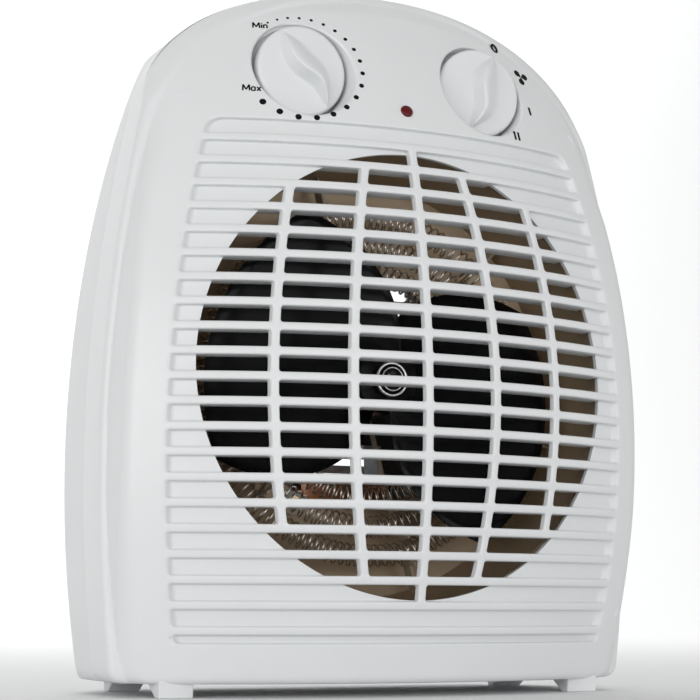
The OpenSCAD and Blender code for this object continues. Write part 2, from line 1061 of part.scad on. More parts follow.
// Bush that lines the cord's entry
module cord_bushing() {
  color("white")
    on_axis(inlet_x, 0, inlet_z)
      difference() {
        union() {
          translate([0, 0, back_y - wall - 4])
            cylinder(d = inlet_d, h = wall + 4);
          translate([0, 0, back_y - wall - 3])
            cylinder(d = inlet_d + 4, h = 3);
        }
        translate([0, 0, back_y - 10])
          cylinder(d = cord_bore_d, h = 20);
      }
}

// Saddle that holds the cord down inside
module cord_clamp() {
  color("white")
    difference() {
      translate([inlet_x - 15, clamp_y - 3.5, inlet_z + 1])
        cube([30, 7, 7]);
      on_axis(inlet_x, clamp_y - 10, inlet_z)
        cylinder(d = cord_bore_d + 1, h = 20);
      for (s = [-1, 1])
        translate([inlet_x + s * clamp_screw_x, clamp_y, inlet_z])
          cylinder(d = 3.2, h = 12);
    }
}

module clamp_screws() {
  color("silver")
    for (s = [-1, 1])
      translate([inlet_x + s * clamp_screw_x, clamp_y, inlet_z]) {
        translate([0, 0, 8])
          cylinder(d = 5.6, h = 1.8);
        translate([0, 0, -8])
          cylinder(d = 3, h = 17);
      }
}

module case_screws() {
  color("silver")
    for (p = case_screw_xz)
      on_axis(p[0], 0, p[1]) {
        translate([0, 0, case_head_y])
          cylinder(d = case_head_d, h = 2.5);
        translate([0, 0, joint_y - 14])
          cylinder(d = case_screw_d, h = case_head_y - joint_y + 15);
      }
}

// A round wire through a list of points, with slightly swollen bends
module wire(points, d) {
  for (i = [0:len(points) - 2]) {
    run = points[i + 1] - points[i];
    translate(points[i]) {
      rotate([0, acos(run.z / norm(run)), atan2(run.y, run.x)])
        cylinder(d = d, h = norm(run), $fn = 16);
      if (i > 0)
        sphere(d = d + 0.3, $fn = 16);
    }
  }
}

// Inner wiring: posts, thermostat, switch, lamp, winding and connector block
module lead_wires() {
  d = 2.4;
  color([0.85, 0.85, 0.82]) {
    wire([[-49.8, 16.2, 99.9], [-72, 22, 120], [-78, 22, 190], [-60, 4, 214], [-41.8, -8.2, 217]], d);
    wire([[-45.4, 16.2, 90.7], [-58, 34, 86], [-76, 40, 130], [-70, 34, 200], [0, 20, 214],
      [25.4, -6.6, 212.8]], d);
    wire([[49.4, -6.2, 212.8], [70, 12, 192], [70, 34, 120], [40, 46, 80], [16, 44.3, 72]], d);
    wire([[33.4, -6.6, 212.8], [60, 18, 204], [84, 30, 120], [70, 40, 40], [-24.6, 28, 16]], d);
    wire([[-26.5, 16.2, 72.1], [-40, 24, 50], [-42, 28.5, 21.8]], d);
    wire([[0, -17, 209.2], [20, -14, 204], [41.4, -12, 206], [41.4, -8.2, 210.4]], d);
  }
}

front_shell();
rear_shell();
thermostat_knob();
switch_knob();
indicator_lens();
neon_lamp();
thermostat_body();
thermostat_spindle();
thermostat_blade();
switch_body();
switch_spindle();
control_screws();
element_pan();
pan_screws();
mica_vanes();
heating_coil_outer();
heating_coil_middle();
heating_coil_inner();
ceramic_bushes();
terminal_posts();
thermal_cutout();
thermal_fuse();
motor_bridge();
bridge_screws();
motor_spacers();
front_bracket();
rear_bracket();
motor_bearings();
motor_stator();
motor_winding();
motor_rotor();
thrust_washers();
motor_shaft();
motor_screws();
fan_impeller();
hub_clip();
terminal_block();
cord_bushing();
cord_clamp();
clamp_screws();
lead_wires();
case_screws();
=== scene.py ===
import json
import math

import bmesh
import bpy
import numpy as np
from mathutils import Matrix, Vector


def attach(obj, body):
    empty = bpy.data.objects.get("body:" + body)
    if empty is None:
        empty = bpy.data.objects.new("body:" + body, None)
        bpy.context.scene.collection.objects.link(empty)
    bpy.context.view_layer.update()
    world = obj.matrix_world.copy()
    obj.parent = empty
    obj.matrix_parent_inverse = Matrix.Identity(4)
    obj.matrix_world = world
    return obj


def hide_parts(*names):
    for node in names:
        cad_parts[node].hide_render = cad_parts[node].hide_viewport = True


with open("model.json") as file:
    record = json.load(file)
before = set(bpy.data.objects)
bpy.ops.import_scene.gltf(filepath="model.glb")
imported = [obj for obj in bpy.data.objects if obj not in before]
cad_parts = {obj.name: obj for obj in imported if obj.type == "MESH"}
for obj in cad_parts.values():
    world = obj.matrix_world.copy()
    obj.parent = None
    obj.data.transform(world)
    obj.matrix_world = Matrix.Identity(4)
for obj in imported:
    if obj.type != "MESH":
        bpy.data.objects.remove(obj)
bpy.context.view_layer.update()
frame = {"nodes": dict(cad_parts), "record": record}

# All lengths are millimetres until a mesh is made.
MM = 0.001

# ------------------------------ shape of the body
DOME_RV, DOME_RH, DOME_Z = 340.0, 212.0, 104.4
FRONT_Y, BACK_Y = -63.0, 63.0
JOINT_Y = 2.0
STEP_Y = -19.5
STEP_IN = 3.6
BODY_W, BODY_H, FOOT_H = 221.0, 271.5, 5.0
BELLY_Z, SIDE_R, SHOULDER_Z = 85.4, 600.0, 220.4
BACK_TAPER_R, BACK_FLARE = 430.0, 6.5
BACK_EDGE_R, BACK_CROWN_R, BACK_FOOT_R = 61.0, 36.0, 25.0
CORNER_R = 5.0
WALL = 2.5

RIB_Z0, RIB_PITCH, RIB_H, RIB_COUNT = 25.4, 9.0, 3.0, 21
POCKET_D = 3.0
FLOOR_D = 5.0
RIB_DEEP = 9.0
FIELD_R = 420.0
FIELD_HALF = 93.5
FIELD_MID_Z = 92.0
FIELD_LOW, FIELD_HIGH = 19.4, 211.4
POCKET_R = 1.0
LOW_POCKET_R, HIGH_POCKET_R = 2.2, 4.6
AXIS_Z = 118.0
OUTLET_R = 83.2
BAR_HALF = 1.5

KNOB_X, KNOB_Y, KNOB_Z = 37.8, -30.7, 233.5
KNOB_LEAN, KNOB_TURN = 3.0, 1.0
KNOB_R = 17.7
SEAT_R = 18.8
SEAT_FLOOR = -8.2
SEAT_T = 2.4

LENS_Z, LENS_LEAN = 218.9, 20.0

FAN_R = 72.0
FAN_FRONT = -34.0


def dome(x, z):
    """Depth of the grille's double-curved face."""
    x = np.asarray(x, float)
    z = np.asarray(z, float)
    across = DOME_RV - DOME_RH + np.sqrt(DOME_RH ** 2 - x * x)
    return FRONT_Y + DOME_RV - np.sqrt(across ** 2 - (z - DOME_Z) ** 2)


def side_x(z):
    """Half width of the body without its bottom corner."""
    z = np.asarray(z, float)
    side = BODY_W / 2 - (z - BELLY_Z) ** 2 / (2 * SIDE_R)
    rise = np.clip((z - SHOULDER_Z) / (BODY_H - SHOULDER_Z), 0, 1)
    return side * (1 - rise ** 2.6) ** (1 / 2.3)


def field_x(z):
    """Half width of the field of pockets."""
    return FIELD_HALF - FIELD_R + np.sqrt(FIELD_R ** 2 - (np.asarray(z, float) - FIELD_MID_Z) ** 2)


def bar_x(which, z):
    """Centre line of one of the five upright bars."""
    t = (np.asarray(z, float) - (AXIS_Z - 6)) / 100
    spread, bow = {0: (0.0, 0.0), 1: (29.0, 13.3), 2: (57.6, 16.45)}[abs(which)]
    side = 1 if which >= 0 else -1
    return side * (spread - bow * t * t)


# ------------------------------ mesh helpers
def new_object(name, verts, faces, smooth=35.0):
    mesh = bpy.data.meshes.new(name)
    mesh.from_pydata((np.asarray(verts, float) * MM).tolist(), [], [list(map(int, f)) for f in faces])
    obj = bpy.data.objects.new(name, mesh)
    bpy.context.scene.collection.objects.link(obj)
    if smooth:
        shade(obj, smooth)
    return obj


def shade(obj, angle):
    """Smooth shading with sharp edges above an angle."""
    mesh = obj.data
    mesh.polygons.foreach_set("use_smooth", [True] * len(mesh.polygons))
    mesh.set_sharp_from_angle(angle=math.radians(angle))


def tidy_mesh(obj, merge=0.002):
    """Merges close vertices and turns every face outward."""
    bm = bmesh.new()
    bm.from_mesh(obj.data)
    bmesh.ops.remove_doubles(bm, verts=bm.verts, dist=merge * MM)
    bmesh.ops.dissolve_degenerate(bm, edges=bm.edges, dist=0.0005 * MM)
    bmesh.ops.recalc_face_normals(bm, faces=bm.faces)
    if bm.calc_volume(signed=True) < 0:
        bmesh.ops.reverse_faces(bm, faces=bm.faces)
    bm.to_mesh(obj.data)
    bm.free()
    return obj


def boolean(obj, cutter, operation="DIFFERENCE"):
    """Applies a solid operation to obj and deletes the cutter."""
    mod = obj.modifiers.new("bool", "BOOLEAN")
    mod.operation = operation
    mod.solver = "MANIFOLD"
    mod.object = cutter
    cut = obj.evaluated_get(bpy.context.evaluated_depsgraph_get())
    mesh = bpy.data.meshes.new_from_object(cut)
    obj.modifiers.clear()
    old = obj.data
    obj.data = mesh
    mesh.name = obj.name
    bpy.data.meshes.remove(old)
    bpy.data.objects.remove(cutter)
    return obj


def grid_faces(rows, cols, closed_cols=False):
    """Quads of a grid of vertices stored row by row."""
    faces = []
    for i in range(rows - 1):
        for j in range(cols if closed_cols else cols - 1):
            k = (j + 1) % cols
            faces.append((i * cols + j, i * cols + k, (i + 1) * cols + k, (i + 1) * cols + j))
    return faces


def ring_faces(levels, n):
    """Closed solid of stacked rings of n vertices."""
    return grid_faces(levels, n, True) + [list(range(n))[::-1], [(levels - 1) * n + i for i in range(n)]]


class Batch:
    """Collects many small shapes for one mesh."""

    def __init__(self):
        self.verts, self.faces = [], []

    def add(self, verts, faces):
        base = sum(len(v) for v in self.verts)
        self.verts.append(np.asarray(verts, float))
        self.faces += [[base + i for i in f] for f in faces]

    def object(self, name, smooth=35.0, merge=None):
        obj = new_object(name, np.concatenate(self.verts), self.faces, 0)
        if merge:
            tidy_mesh(obj, merge)
        if smooth:
            shade(obj, smooth)
        return obj


def spun(profile, steps=96, matrix=None):
    """Vertices and faces of a closed (radius, height) profile turned about Z."""
    profile = np.asarray(profile, float)
    turn = np.linspace(0, 2 * np.pi, steps, endpoint=False)
    n = len(profile)
    verts = np.array([[r * math.cos(t), r * math.sin(t), h] for t in turn for r, h in profile])
    faces = []
    for i in range(steps):
        a, b = i * n, ((i + 1) % steps) * n
        for j in range(n):
            k = (j + 1) % n
            faces.append((a + j, b + j, b + k, a + k))
    if matrix is not None:
        verts = verts @ np.array(matrix.to_3x3()).T + np.array(matrix.translation)
    return verts, faces


def on_axis(x, y, z):
    """Local Z runs to the back."""
    return Matrix.Translation((x, y, z)) @ Matrix.Rotation(math.radians(-90), 4, "X")


def at_knob(side):
    """Local Z runs outward along a knob's axis; side is -1 for the thermostat and 1 for the switch."""
    return (Matrix.Translation((side * KNOB_X, KNOB_Y, KNOB_Z))
            @ Matrix.Rotation(math.radians(side * KNOB_TURN), 4, "Z")
            @ Matrix.Rotation(math.radians(90 - KNOB_LEAN), 4, "X"))


def place(verts, matrix):
    """Vertices moved by a matrix."""
    return np.asarray(verts, float) @ np.array(matrix.to_3x3()).T + np.array(matrix.translation)


# ------------------------------ body grid
# Rows are level up to SPLIT_Z and fan out above it, and the last one ends at INNER_TOP_Z in the middle
SPLIT_Z, INNER_TOP_Z = 150.0, 238.0


def crown_z(count):
    """Heights over the crown, closer together towards its top."""
    return SHOULDER_Z + (BODY_H - SHOULDER_Z) * np.sin(np.linspace(0, np.pi / 2, count))[1:]


def outline_rows(inset=0.0):
    """Rows that run from the outline to the middle: outline point, inward direction and inner point."""
    low = FOOT_H + inset
    corner = low + np.array([0, .25, .6, 1.1, 1.8, 2.7, 3.8, 5.0])
    zs = np.concatenate([corner, np.arange(low + 7, SPLIT_Z, 2.2)])
    rows = [(float(side_x(z)), float(z)) for z in zs]
    fine_z = np.concatenate([np.linspace(SPLIT_Z, SHOULDER_Z, 60), crown_z(400)])
    fine = np.stack([side_x(fine_z), fine_z], 1)
    fine[-1, 0] = 0
    run = np.concatenate([[0], np.cumsum(np.hypot(*np.diff(fine, axis=0).T))])
    pick = np.linspace(0, run[-1], 84)
    top = np.stack([np.interp(pick, run, fine[:, 0]), np.interp(pick, run, fine[:, 1])], 1)
    rows += [tuple(p) for p in top]
    p = np.array(rows)
    tangent = np.gradient(p, axis=0)
    tangent[-1] = (-1, 0)
    normal = np.stack([-tangent[:, 1], tangent[:, 0]], 1)
    normal /= np.linalg.norm(normal, axis=1)[:, None]
    mix = np.clip((p[:, 1] - 120) / 60, 0, 1)[:, None]
    normal = np.array([[-1.0, 0.0]]) * (1 - mix) + normal * mix
    normal /= np.linalg.norm(normal, axis=1)[:, None]
    shrink = (INNER_TOP_Z - SPLIT_Z) / (BODY_H - SPLIT_Z)
    inner_z = np.where(p[:, 1] < SPLIT_Z, p[:, 1], SPLIT_Z + (p[:, 1] - SPLIT_Z) * shrink)
    if inset:
        p = p + normal * inset
        p[:, 0] = np.maximum(p[:, 0], 0)
    return p, normal, inner_z


OUT_Z = np.concatenate([np.linspace(-30, SHOULDER_Z, 400), crown_z(500)])
OUT_LINE = np.stack([side_x(OUT_Z), OUT_Z], 1)
OUT_LINE[-1, 0] = 0


def inset_of(x, z):
    """Distance in from the outline."""
    pts = np.stack([np.abs(x).ravel(), z.ravel()], 1)
    out = np.empty(len(pts))
    a, b = OUT_LINE[:-1], OUT_LINE[1:]
    ab = b - a
    for s in range(0, len(pts), 2000):
        q = pts[s:s + 2000, None, :]
        t = np.clip(((q - a) * ab).sum(2) / (ab ** 2).sum(1), 0, 1)
        out[s:s + 2000] = np.linalg.norm(q - (a + t[..., None] * ab), axis=2).min(1)
    return out.reshape(x.shape)


def quarter(u, r):
    """Depth of a rounded edge of radius r at distance u from its start."""
    return r - np.sqrt(np.maximum(r * r - (r - np.clip(u, 0, r)) ** 2, 0))


def front_profile(x, z, d):
    """The grille's face with its stepped side, at inset d from the outline."""
    base = dome(x, z)
    ra = np.interp(z, [6, 49, 69, 159, 185, 198, 219], [7.6, 5.4, 4.2, 4.2, 4.8, 7.0, 7.6])
    u = d - STEP_IN
    ya = base + quarter(u, ra) + np.where(u < 0, -u * 9, 0)
    rb = np.interp(z, [196, 228], [3.2, 7.0])
    yb = np.maximum(STEP_Y, base) + quarter(d, rb)
    k = 5.2 * np.clip((STEP_Y - base) / 7, 0, 1) + 1e-6
    h = np.maximum(k - np.abs(ya - yb), 0) / k
    return np.minimum(ya, yb) - h * h * k / 4


def shell_solid(name, near, profile, back, inset=0.0, inner_steps=32, edge_r=2.5):
    """Closed solid whose rows run in from the outline.

    profile gives the depth of its face, back the (inset, depth) steps of its side, and edge_r the radius
    between its face and its bottom.
    """
    p, normal, inner_z = outline_rows(inset)
    near = np.asarray(near, float)
    fade = np.linspace(0, 1, inner_steps + 1)[1:] ** 1.15
    rows = []
    for (px, pz), (nx, nz), qz in zip(p, normal, inner_z):
        start = np.array([px, pz]) + np.outer(near, [nx, nz])
        start[:, 0] = np.maximum(start[:, 0], 0)
        last = start[-1]
        tail = last + np.outer(fade, np.array([0.0, qz]) - last)
        rows.append(np.concatenate([start, tail]))
    g = np.array(rows)
    x, z = g[..., 0].copy(), g[..., 1]
    low = FOOT_H + inset
    drop = quarter(z[:, :1] - low, CORNER_R - inset if CORNER_R > inset else 1.0)
    drop = np.where(z[:, :1] < low + CORNER_R, drop, 0)
    scale = np.maximum(x[:, :1] - drop, 0) / np.maximum(x[:, :1], 1e-9)
    scale[-1] = 1
    x = x * scale
    d = inset_of(x, np.maximum(z, -30)) if not inset else np.maximum(inset_of(x, z), 0)
    y = profile(x, z, d, near)
    if edge_r:
        y = y + np.where(z < low + edge_r, quarter(z - low, edge_r), 0)
    n_rows = len(x)
    sides = []
    for inset_back, depth in back:
        bx = x[:, 0] + normal[:, 0] * inset_back
        bz = z[:, 0] + normal[:, 1] * inset_back
        bz[0] = z[0, 0]
        sides.append(np.stack([np.maximum(bx, 0), np.full(n_rows, depth), bz], 1))
    front = np.stack([x, y, z], 2)
    half = np.concatenate([np.stack(sides, 1), front], 1)
    left = half[:, :-1] * np.array([-1, 1, 1])
    full = np.concatenate([left, half[:, ::-1]], 1)
    cols = full.shape[1]
    verts = full.reshape(-1, 3)
    faces = grid_faces(n_rows, cols)
    faces.append(list(range(cols)))
    left_end = [i * cols for i in range(n_rows)]
    right_end = [i * cols + cols - 1 for i in range(n_rows)]
    faces.append(left_end + right_end[::-1])
    obj = new_object(name, verts, faces, 0)
    return tidy_mesh(obj)


# Distances in from the outline, closest together round the step of the front moulding
NEAR = [0, .06, .2, .45, .8, 1.2, 1.7, 2.2, 2.6, 2.9, 3.1, 3.25, 3.4, 3.55, 3.63, 3.75, 3.95, 4.3, 4.8, 5.5,
        6.3, 7.2, 8.2, 9.3, 10.5, 11.8]


def dome_prism(name, x, z, depth0, depth1):
    """Solid between two depths behind the dome over a grid of x and z."""
    rows, cols = x.shape
    top = np.stack([x, dome(x, z) + depth0, z], 2).reshape(-1, 3)
    low = np.stack([x, dome(x, z) + depth1, z], 2).reshape(-1, 3)
    verts = np.concatenate([top, low])
    n = rows * cols
    faces = grid_faces(rows, cols) + [tuple(n + i for i in f[::-1]) for f in grid_faces(rows, cols)]
    ring = ([(0, j) for j in range(cols)] + [(i, cols - 1) for i in range(1, rows)]
            + [(rows - 1, j) for j in range(cols - 2, -1, -1)] + [(i, 0) for i in range(rows - 2, 0, -1)])
    ring = [i * cols + j for i, j in ring]
    for a, b in zip(ring, ring[1:] + ring[:1]):
        faces.append((a, b, n + b, n + a))
    return tidy_mesh(new_object(name, verts, faces, 0), 0.0001)


def dome_disc(name, cx, cz, r, depth0, depth1, steps=160):
    """Round solid between two depths behind the dome."""
    turn = np.linspace(0, 2 * np.pi, steps, endpoint=False)
    radii = np.concatenate([np.linspace(0.02, 0.9, 14) * r, [r]])
    verts, faces = [], []
    for depth in (depth0, depth1):
        for q in radii:
            x, z = cx + q * np.cos(turn), cz + q * np.sin(turn)
            verts.append(np.stack([x, dome(x, z) + depth, z], 1))
    m = len(radii)
    verts = np.concatenate(verts)
    faces += grid_faces(m, steps, True)
    faces += [tuple(m * steps + i for i in f[::-1]) for f in grid_faces(m, steps, True)]
    faces.append(list(range(steps)))
    faces.append([m * steps + i for i in range(steps)][::-1])
    a, b = (m - 1) * steps, (2 * m - 1) * steps
    for i in range(steps):
        j = (i + 1) % steps
        faces.append((a + i, a + j, b + j, b + i))
    return tidy_mesh(new_object(name, verts, faces, 0), 0.0001)


def column(name, cx, cz, r, y0, y1, steps=160):
    """Round solid along Y."""
    verts, faces = spun([(0.0, y0), (r, y0), (r, y1), (0.0, y1)], steps)
    verts = np.stack([cx + verts[:, 0], verts[:, 2], cz + verts[:, 1]], 1)
    return tidy_mesh(new_object(name, verts, faces, 0), 0.0001)


# ------------------------------ pocket cutters
END_SLOPE = 0.85


def cell_ring(z0, z1, left, right, inset, r, count, ends=(0.0, 0.0)):
    """Matching lower and upper edges of one rounded cell, shrunk by inset and at its ends by ends."""
    arc = np.radians([0, 25, 45, 65, 90])
    out = []
    for sign, q in ((-1, r[0]), (1, r[1])):
        q = max(q - inset, 0.12)
        edge_z = (z0 + inset) if sign < 0 else (z1 - inset)
        za = edge_z - sign * q * (1 - np.sin(arc))
        xa = left(za) + inset + ends[0] + q * (1 - np.cos(arc))
        zb = za[::-1]
        xb = right(zb) - inset - ends[1] - q * (1 - np.cos(arc[::-1]))
        mid = np.linspace(xa[-1], xb[0], count + 1)[1:-1]
        out.append(np.stack([np.concatenate([xa, mid, xb]),
                             np.concatenate([za, np.full(len(mid), edge_z), zb])], 1))
    return out


def add_cell(batch, z0, z1, left, right, levels, r=(1.0, 1.0), slope=(0.0, 0.0)):
    """Adds a cell cutter whose levels are (depth behind the dome, inset); slope leans its ends inward."""
    width = float(right((z0 + z1) / 2) - left((z0 + z1) / 2))
    count = max(2, int(math.ceil(width / 4.5)))
    verts = []
    for depth, inset in levels:
        lean = [q * min(max(depth, 0.0), POCKET_D) for q in slope]
        low, high = cell_ring(z0, z1, left, right, inset, r, count, lean)
        ring = np.concatenate([low, high[::-1]])
        verts.append(np.stack([ring[:, 0], dome(ring[:, 0], ring[:, 1]) + depth, ring[:, 1]], 1))
    n = len(verts[0])
    half = n // 2
    faces = grid_faces(len(levels), n, True)
    for base, flip in ((0, 1), ((len(levels) - 1) * n, -1)):
        for i in range(half - 1):
            faces.append([base + i, base + i + 1, base + n - 2 - i, base + n - 1 - i][::flip])
    batch.add(np.concatenate(verts), faces)


def row_heights():
    """Lower and upper edge of every row between ribs."""
    return [(max(RIB_Z0 + RIB_PITCH * (k - 1), FIELD_LOW), min(RIB_Z0 + RIB_PITCH * k - RIB_H, FIELD_HIGH))
            for k in range(RIB_COUNT + 1)]


def row_cells():
    """Every pocket as (low z, high z, left edge, right edge, row, slopes of its two ends)."""
    for k, (z0, z1) in enumerate(row_heights()):
        mid = (z0 + z1) / 2
        reach = OUTLET_R ** 2 - (mid - AXIS_Z) ** 2
        reach = math.sqrt(reach) if reach > 0 else 0
        edges = [lambda z: -field_x(z)]
        for b in (-2, -1, 0, 1, 2):
            if reach > abs(float(bar_x(b, mid))) + 4:
                edges.append(lambda z, b=b: bar_x(b, z) - BAR_HALF)
                edges.append(lambda z, b=b: bar_x(b, z) + BAR_HALF)
        edges.append(lambda z: field_x(z))
        pairs = list(zip(edges[0::2], edges[1::2]))
        for i, (left, right) in enumerate(pairs):
            yield z0, z1, left, right, k, (END_SLOPE * (i == 0), END_SLOPE * (i == len(pairs) - 1))


def rim_levels(r, depth):
    """Rounded rim, straight wall and filleted floor."""
    rows = [(-1.2, -0.72), (-0.02, -0.72)]
    for a in (22, 40, 60, 78, 90):
        q = math.radians(a)
        rows.append((r * (1 - math.cos(q)), -r * (1 - math.sin(q))))
    floor_r = 0.8
    for a in (0, 25, 50, 72, 90):
        q = math.radians(a)
        rows.append((depth - floor_r + floor_r * math.sin(q), floor_r * (1 - math.cos(q))))
    return rows


def build_front():
    """Front moulding: hollow shell, pockets, openings inside the outlet and recesses for the knobs."""
    def outer_y(x, z, d, near):
        n = len(near)
        d = d.copy()
        d[:, :n] = np.maximum(np.asarray(near)[None, :], 0)
        return front_profile(x, z, d)

    obj = shell_solid("front_shell_body", NEAR, outer_y,
                      [(0.22, JOINT_Y), (0.0, JOINT_Y - 0.3), (0.0, -3.0), (0.0, -9.0)])

    def inner_y(x, z, d, near):
        y = dome(x, z) + WALL
        d = d.copy()
        d[:, :len(near)] = np.asarray(near)[None, :] + WALL
        return np.maximum(y, front_profile(x, z, d) + WALL * 0.9)

    cavity = shell_solid("cavity", NEAR, inner_y, [(0.0, 14.0), (0.0, 5.0), (0.0, -3.0)], WALL, edge_r=1.0)
    zs = np.linspace(FIELD_LOW - WALL, FIELD_HIGH + WALL, 60)
    f = np.linspace(-1, 1, 48)[None, :]
    x = (field_x(zs) + WALL)[:, None] * f
    z = np.repeat(zs[:, None], 48, 1)
    boolean(cavity, dome_prism("field_floor", x, z, -3.0, FLOOR_D))
    boolean(cavity, dome_disc("outlet_ribs", 0, AXIS_Z, OUTLET_R - 0.02, -3.0, RIB_DEEP))
    for side in (-1, 1):
        cup = Batch()
        low, wide = SEAT_FLOOR - SEAT_T, SEAT_R + 2.1
        cup.add(*spun([(0, low), (wide, low), (wide, 18), (0, 18)], 96, at_knob(side)))
        boolean(cavity, cup.object("cup", 0, 0.0001))
    boolean(obj, cavity)

    cells = Batch()
    for z0, z1, left, right, k, slope in row_cells():
        r = (LOW_POCKET_R if k == 0 else POCKET_R, HIGH_POCKET_R if k == RIB_COUNT else POCKET_R)
        add_cell(cells, z0, z1, left, right, rim_levels(0.8, POCKET_D), r, slope)
    boolean(obj, cells.object("pocket_cells", 0, 0.0001))

    through = Batch()
    for z0, z1, left, right, k, slope in row_cells():
        add_cell(through, z0, z1, left, right, [(0.95, 0.04), (FLOOR_D - 0.5, 0.04)])
    through = through.object("through_cells", 0, 0.0001)
    boolean(through, column("c", 0, AXIS_Z, OUTLET_R, -80, 0), "INTERSECT")
    boolean(obj, through)

    deep = Batch()
    for z0, z1 in row_heights():
        add_cell(deep, z0, z1, lambda z: 0 * z - 88, lambda z: 0 * z + 88,
                 [(POCKET_D + 0.15, 0.0), (RIB_DEEP + 4, 0.12)], (0.3, 0.3))
    deep = deep.object("deep_cells", 0, 0.0001)
    boolean(deep, column("c", 0, AXIS_Z, OUTLET_R, -80, 0), "INTERSECT")
    boolean(obj, deep)

    for side in (-1, 1):
        boolean(obj, seat_cutter(side))
        hole = Batch()
        low, high = SEAT_FLOOR - 5, SEAT_FLOOR + 1
        hole.add(*spun([(0, low), (4, low), (4, high), (0, high)], 48, at_knob(side)))
        for s in (-1, 1):
            spot = at_knob(side) @ Matrix.Translation((s * 12.5, 0, 0))
            hole.add(*spun([(0, low), (1.65, low), (1.65, high), (0, high)], 32, spot))
        boolean(obj, hole.object("hole", 0, 0.0001))
    shade(obj, 32)
    return obj


def seat_cutter(side):
    """Recess round a knob, with a rounded lip that follows the dome."""
    steps = 180
    m = at_knob(side)
    turn = np.linspace(0, 2 * np.pi, steps, endpoint=False)

    def ring(r, h):
        return place(np.stack([r * np.cos(turn), r * np.sin(turn), np.full(steps, float(h))], 1), m)

    rings = [ring(0.5, SEAT_FLOOR), ring(SEAT_R - 1.0, SEAT_FLOOR), ring(SEAT_R - 0.3, SEAT_FLOOR + 0.25),
             ring(SEAT_R, SEAT_FLOOR + 1.0)]
    floor_y = rings[-1][:, 1]
    lip = 1.3

    def surface(r, depth):
        p = ring(r, 0)
        p[:, 1] = dome(p[:, 0], p[:, 2]) + depth
        return p

    wall_r = SEAT_R + 0.55
    for a in (90, 70, 50, 32, 20):
        q = math.radians(a)
        p = surface(wall_r + lip * (1 - math.sin(q)), lip * (1 - math.cos(q)))
        p[:, 1] = np.minimum(p[:, 1], floor_y - 0.02 * (100 - a))
        rings.append(p)
    rings.append(surface(wall_r + lip * 0.75, -0.05))
    rings.append(surface(wall_r + lip * 0.75, -1.5))
    for r in (14.0, 8.0, 0.5):
        rings.append(surface(r, -1.5))
    verts = np.concatenate(rings)
    faces = grid_faces(len(rings), steps, True)
    faces.append(list(range(steps)))
    faces.append([(len(rings) - 1) * steps + i for i in range(steps)][::-1])
    return tidy_mesh(new_object("seat_cutter", verts, faces, 0), 0.0001)


front = build_front()


# ------------------------------ feet, bosses and rear moulding
# Faces of a solid with four corners at each end
BRICK = [(0, 1, 2, 3), (7, 6, 5, 4), (0, 4, 5, 1), (1, 5, 6, 2), (2, 6, 7, 3), (3, 7, 4, 0)]


def foot_solids(batch, y, back):
    """Two feet whose webs slope away from their upright faces at y."""
    shape = [(0.4, 0.0), (5.0, 0.0), (15.0, FOOT_H + 1.2), (0.0, FOOT_H + 1.2)]
    for x in (-83.5, 83.5):
        sign = -1 if back else 1
        verts = [(x + s * 6.5, y + sign * q, h) for s in (-1, 1) for q, h in shape]
        batch.add(verts, BRICK)


def feet(name, y, back):
    """Two feet with softened edges."""
    batch = Batch()
    foot_solids(batch, y, back)
    obj = batch.object(name, 0, 0.0001)
    mod = obj.modifiers.new("round", "BEVEL")
    mod.width = 0.5 * MM
    mod.segments = 3
    mod.limit_method = "ANGLE"
    rounded = obj.evaluated_get(bpy.context.evaluated_depsgraph_get())
    obj.data = bpy.data.meshes.new_from_object(rounded)
    obj.modifiers.clear()
    return obj


CASE_SCREWS = [(94, 32), (-94, 32), (80, 218), (-80, 218)]
PAN_EAR_R = 91
PAN_EARS = [(PAN_EAR_R * math.cos(q), AXIS_Z + PAN_EAR_R * math.sin(q))
            for q in np.radians((45, 135, 225, 315))]


def front_bosses():
    """Bosses inside the front for the case screws and the pan's screws."""
    batch = Batch()
    for x, z in CASE_SCREWS:
        y0 = float(dome(x, z)) + 2.2
        profile = [(1.55, y0), (4.5, y0), (4.5, JOINT_Y - 0.4), (4.1, JOINT_Y), (1.55, JOINT_Y)]
        batch.add(*spun(profile, 40, on_axis(x, 0, z)))
    for x, z in PAN_EARS:
        y0 = float(dome(x, z)) + 4.6
        batch.add(*spun([(1.55, y0), (4.5, y0), (4.3, -36.0), (1.55, -36.0)], 40, on_axis(x, 0, z)))
    return batch.object("front_bosses", 35, 0.0001)


def rounded_box(name, x0, x1, z0, z1, r, levels):
    """Box along Y with rounded corners; levels are (y, outset)."""
    arc = np.radians(np.linspace(0, 90, 9))
    verts = []
    for y, grow in levels:
        ring = []
        centres = ((x1 - r, z1 - r), (x0 + r, z1 - r), (x0 + r, z0 + r), (x1 - r, z0 + r))
        for k, (cx, cz) in enumerate(centres):
            q = arc + k * np.pi / 2
            ring += [(cx + (r + grow) * math.cos(t), y, cz + (r + grow) * math.sin(t)) for t in q]
        verts += ring
    return tidy_mesh(new_object(name, verts, ring_faces(len(levels), 4 * len(arc)), 0), 0.0001)


INTAKE_R, SLOT_PITCH, SLOT_R = 70.0, 8.0, 2.3
INLET_X, INLET_Z, INLET_R = -44.0, 40.0, 7.05
REAR_NEAR = [0, .1, .3, .6, 1.0, 1.5, 2.2, 3.0, 4.0, 5.2, 7, 9.5, 12.5, 16, 20, 25]


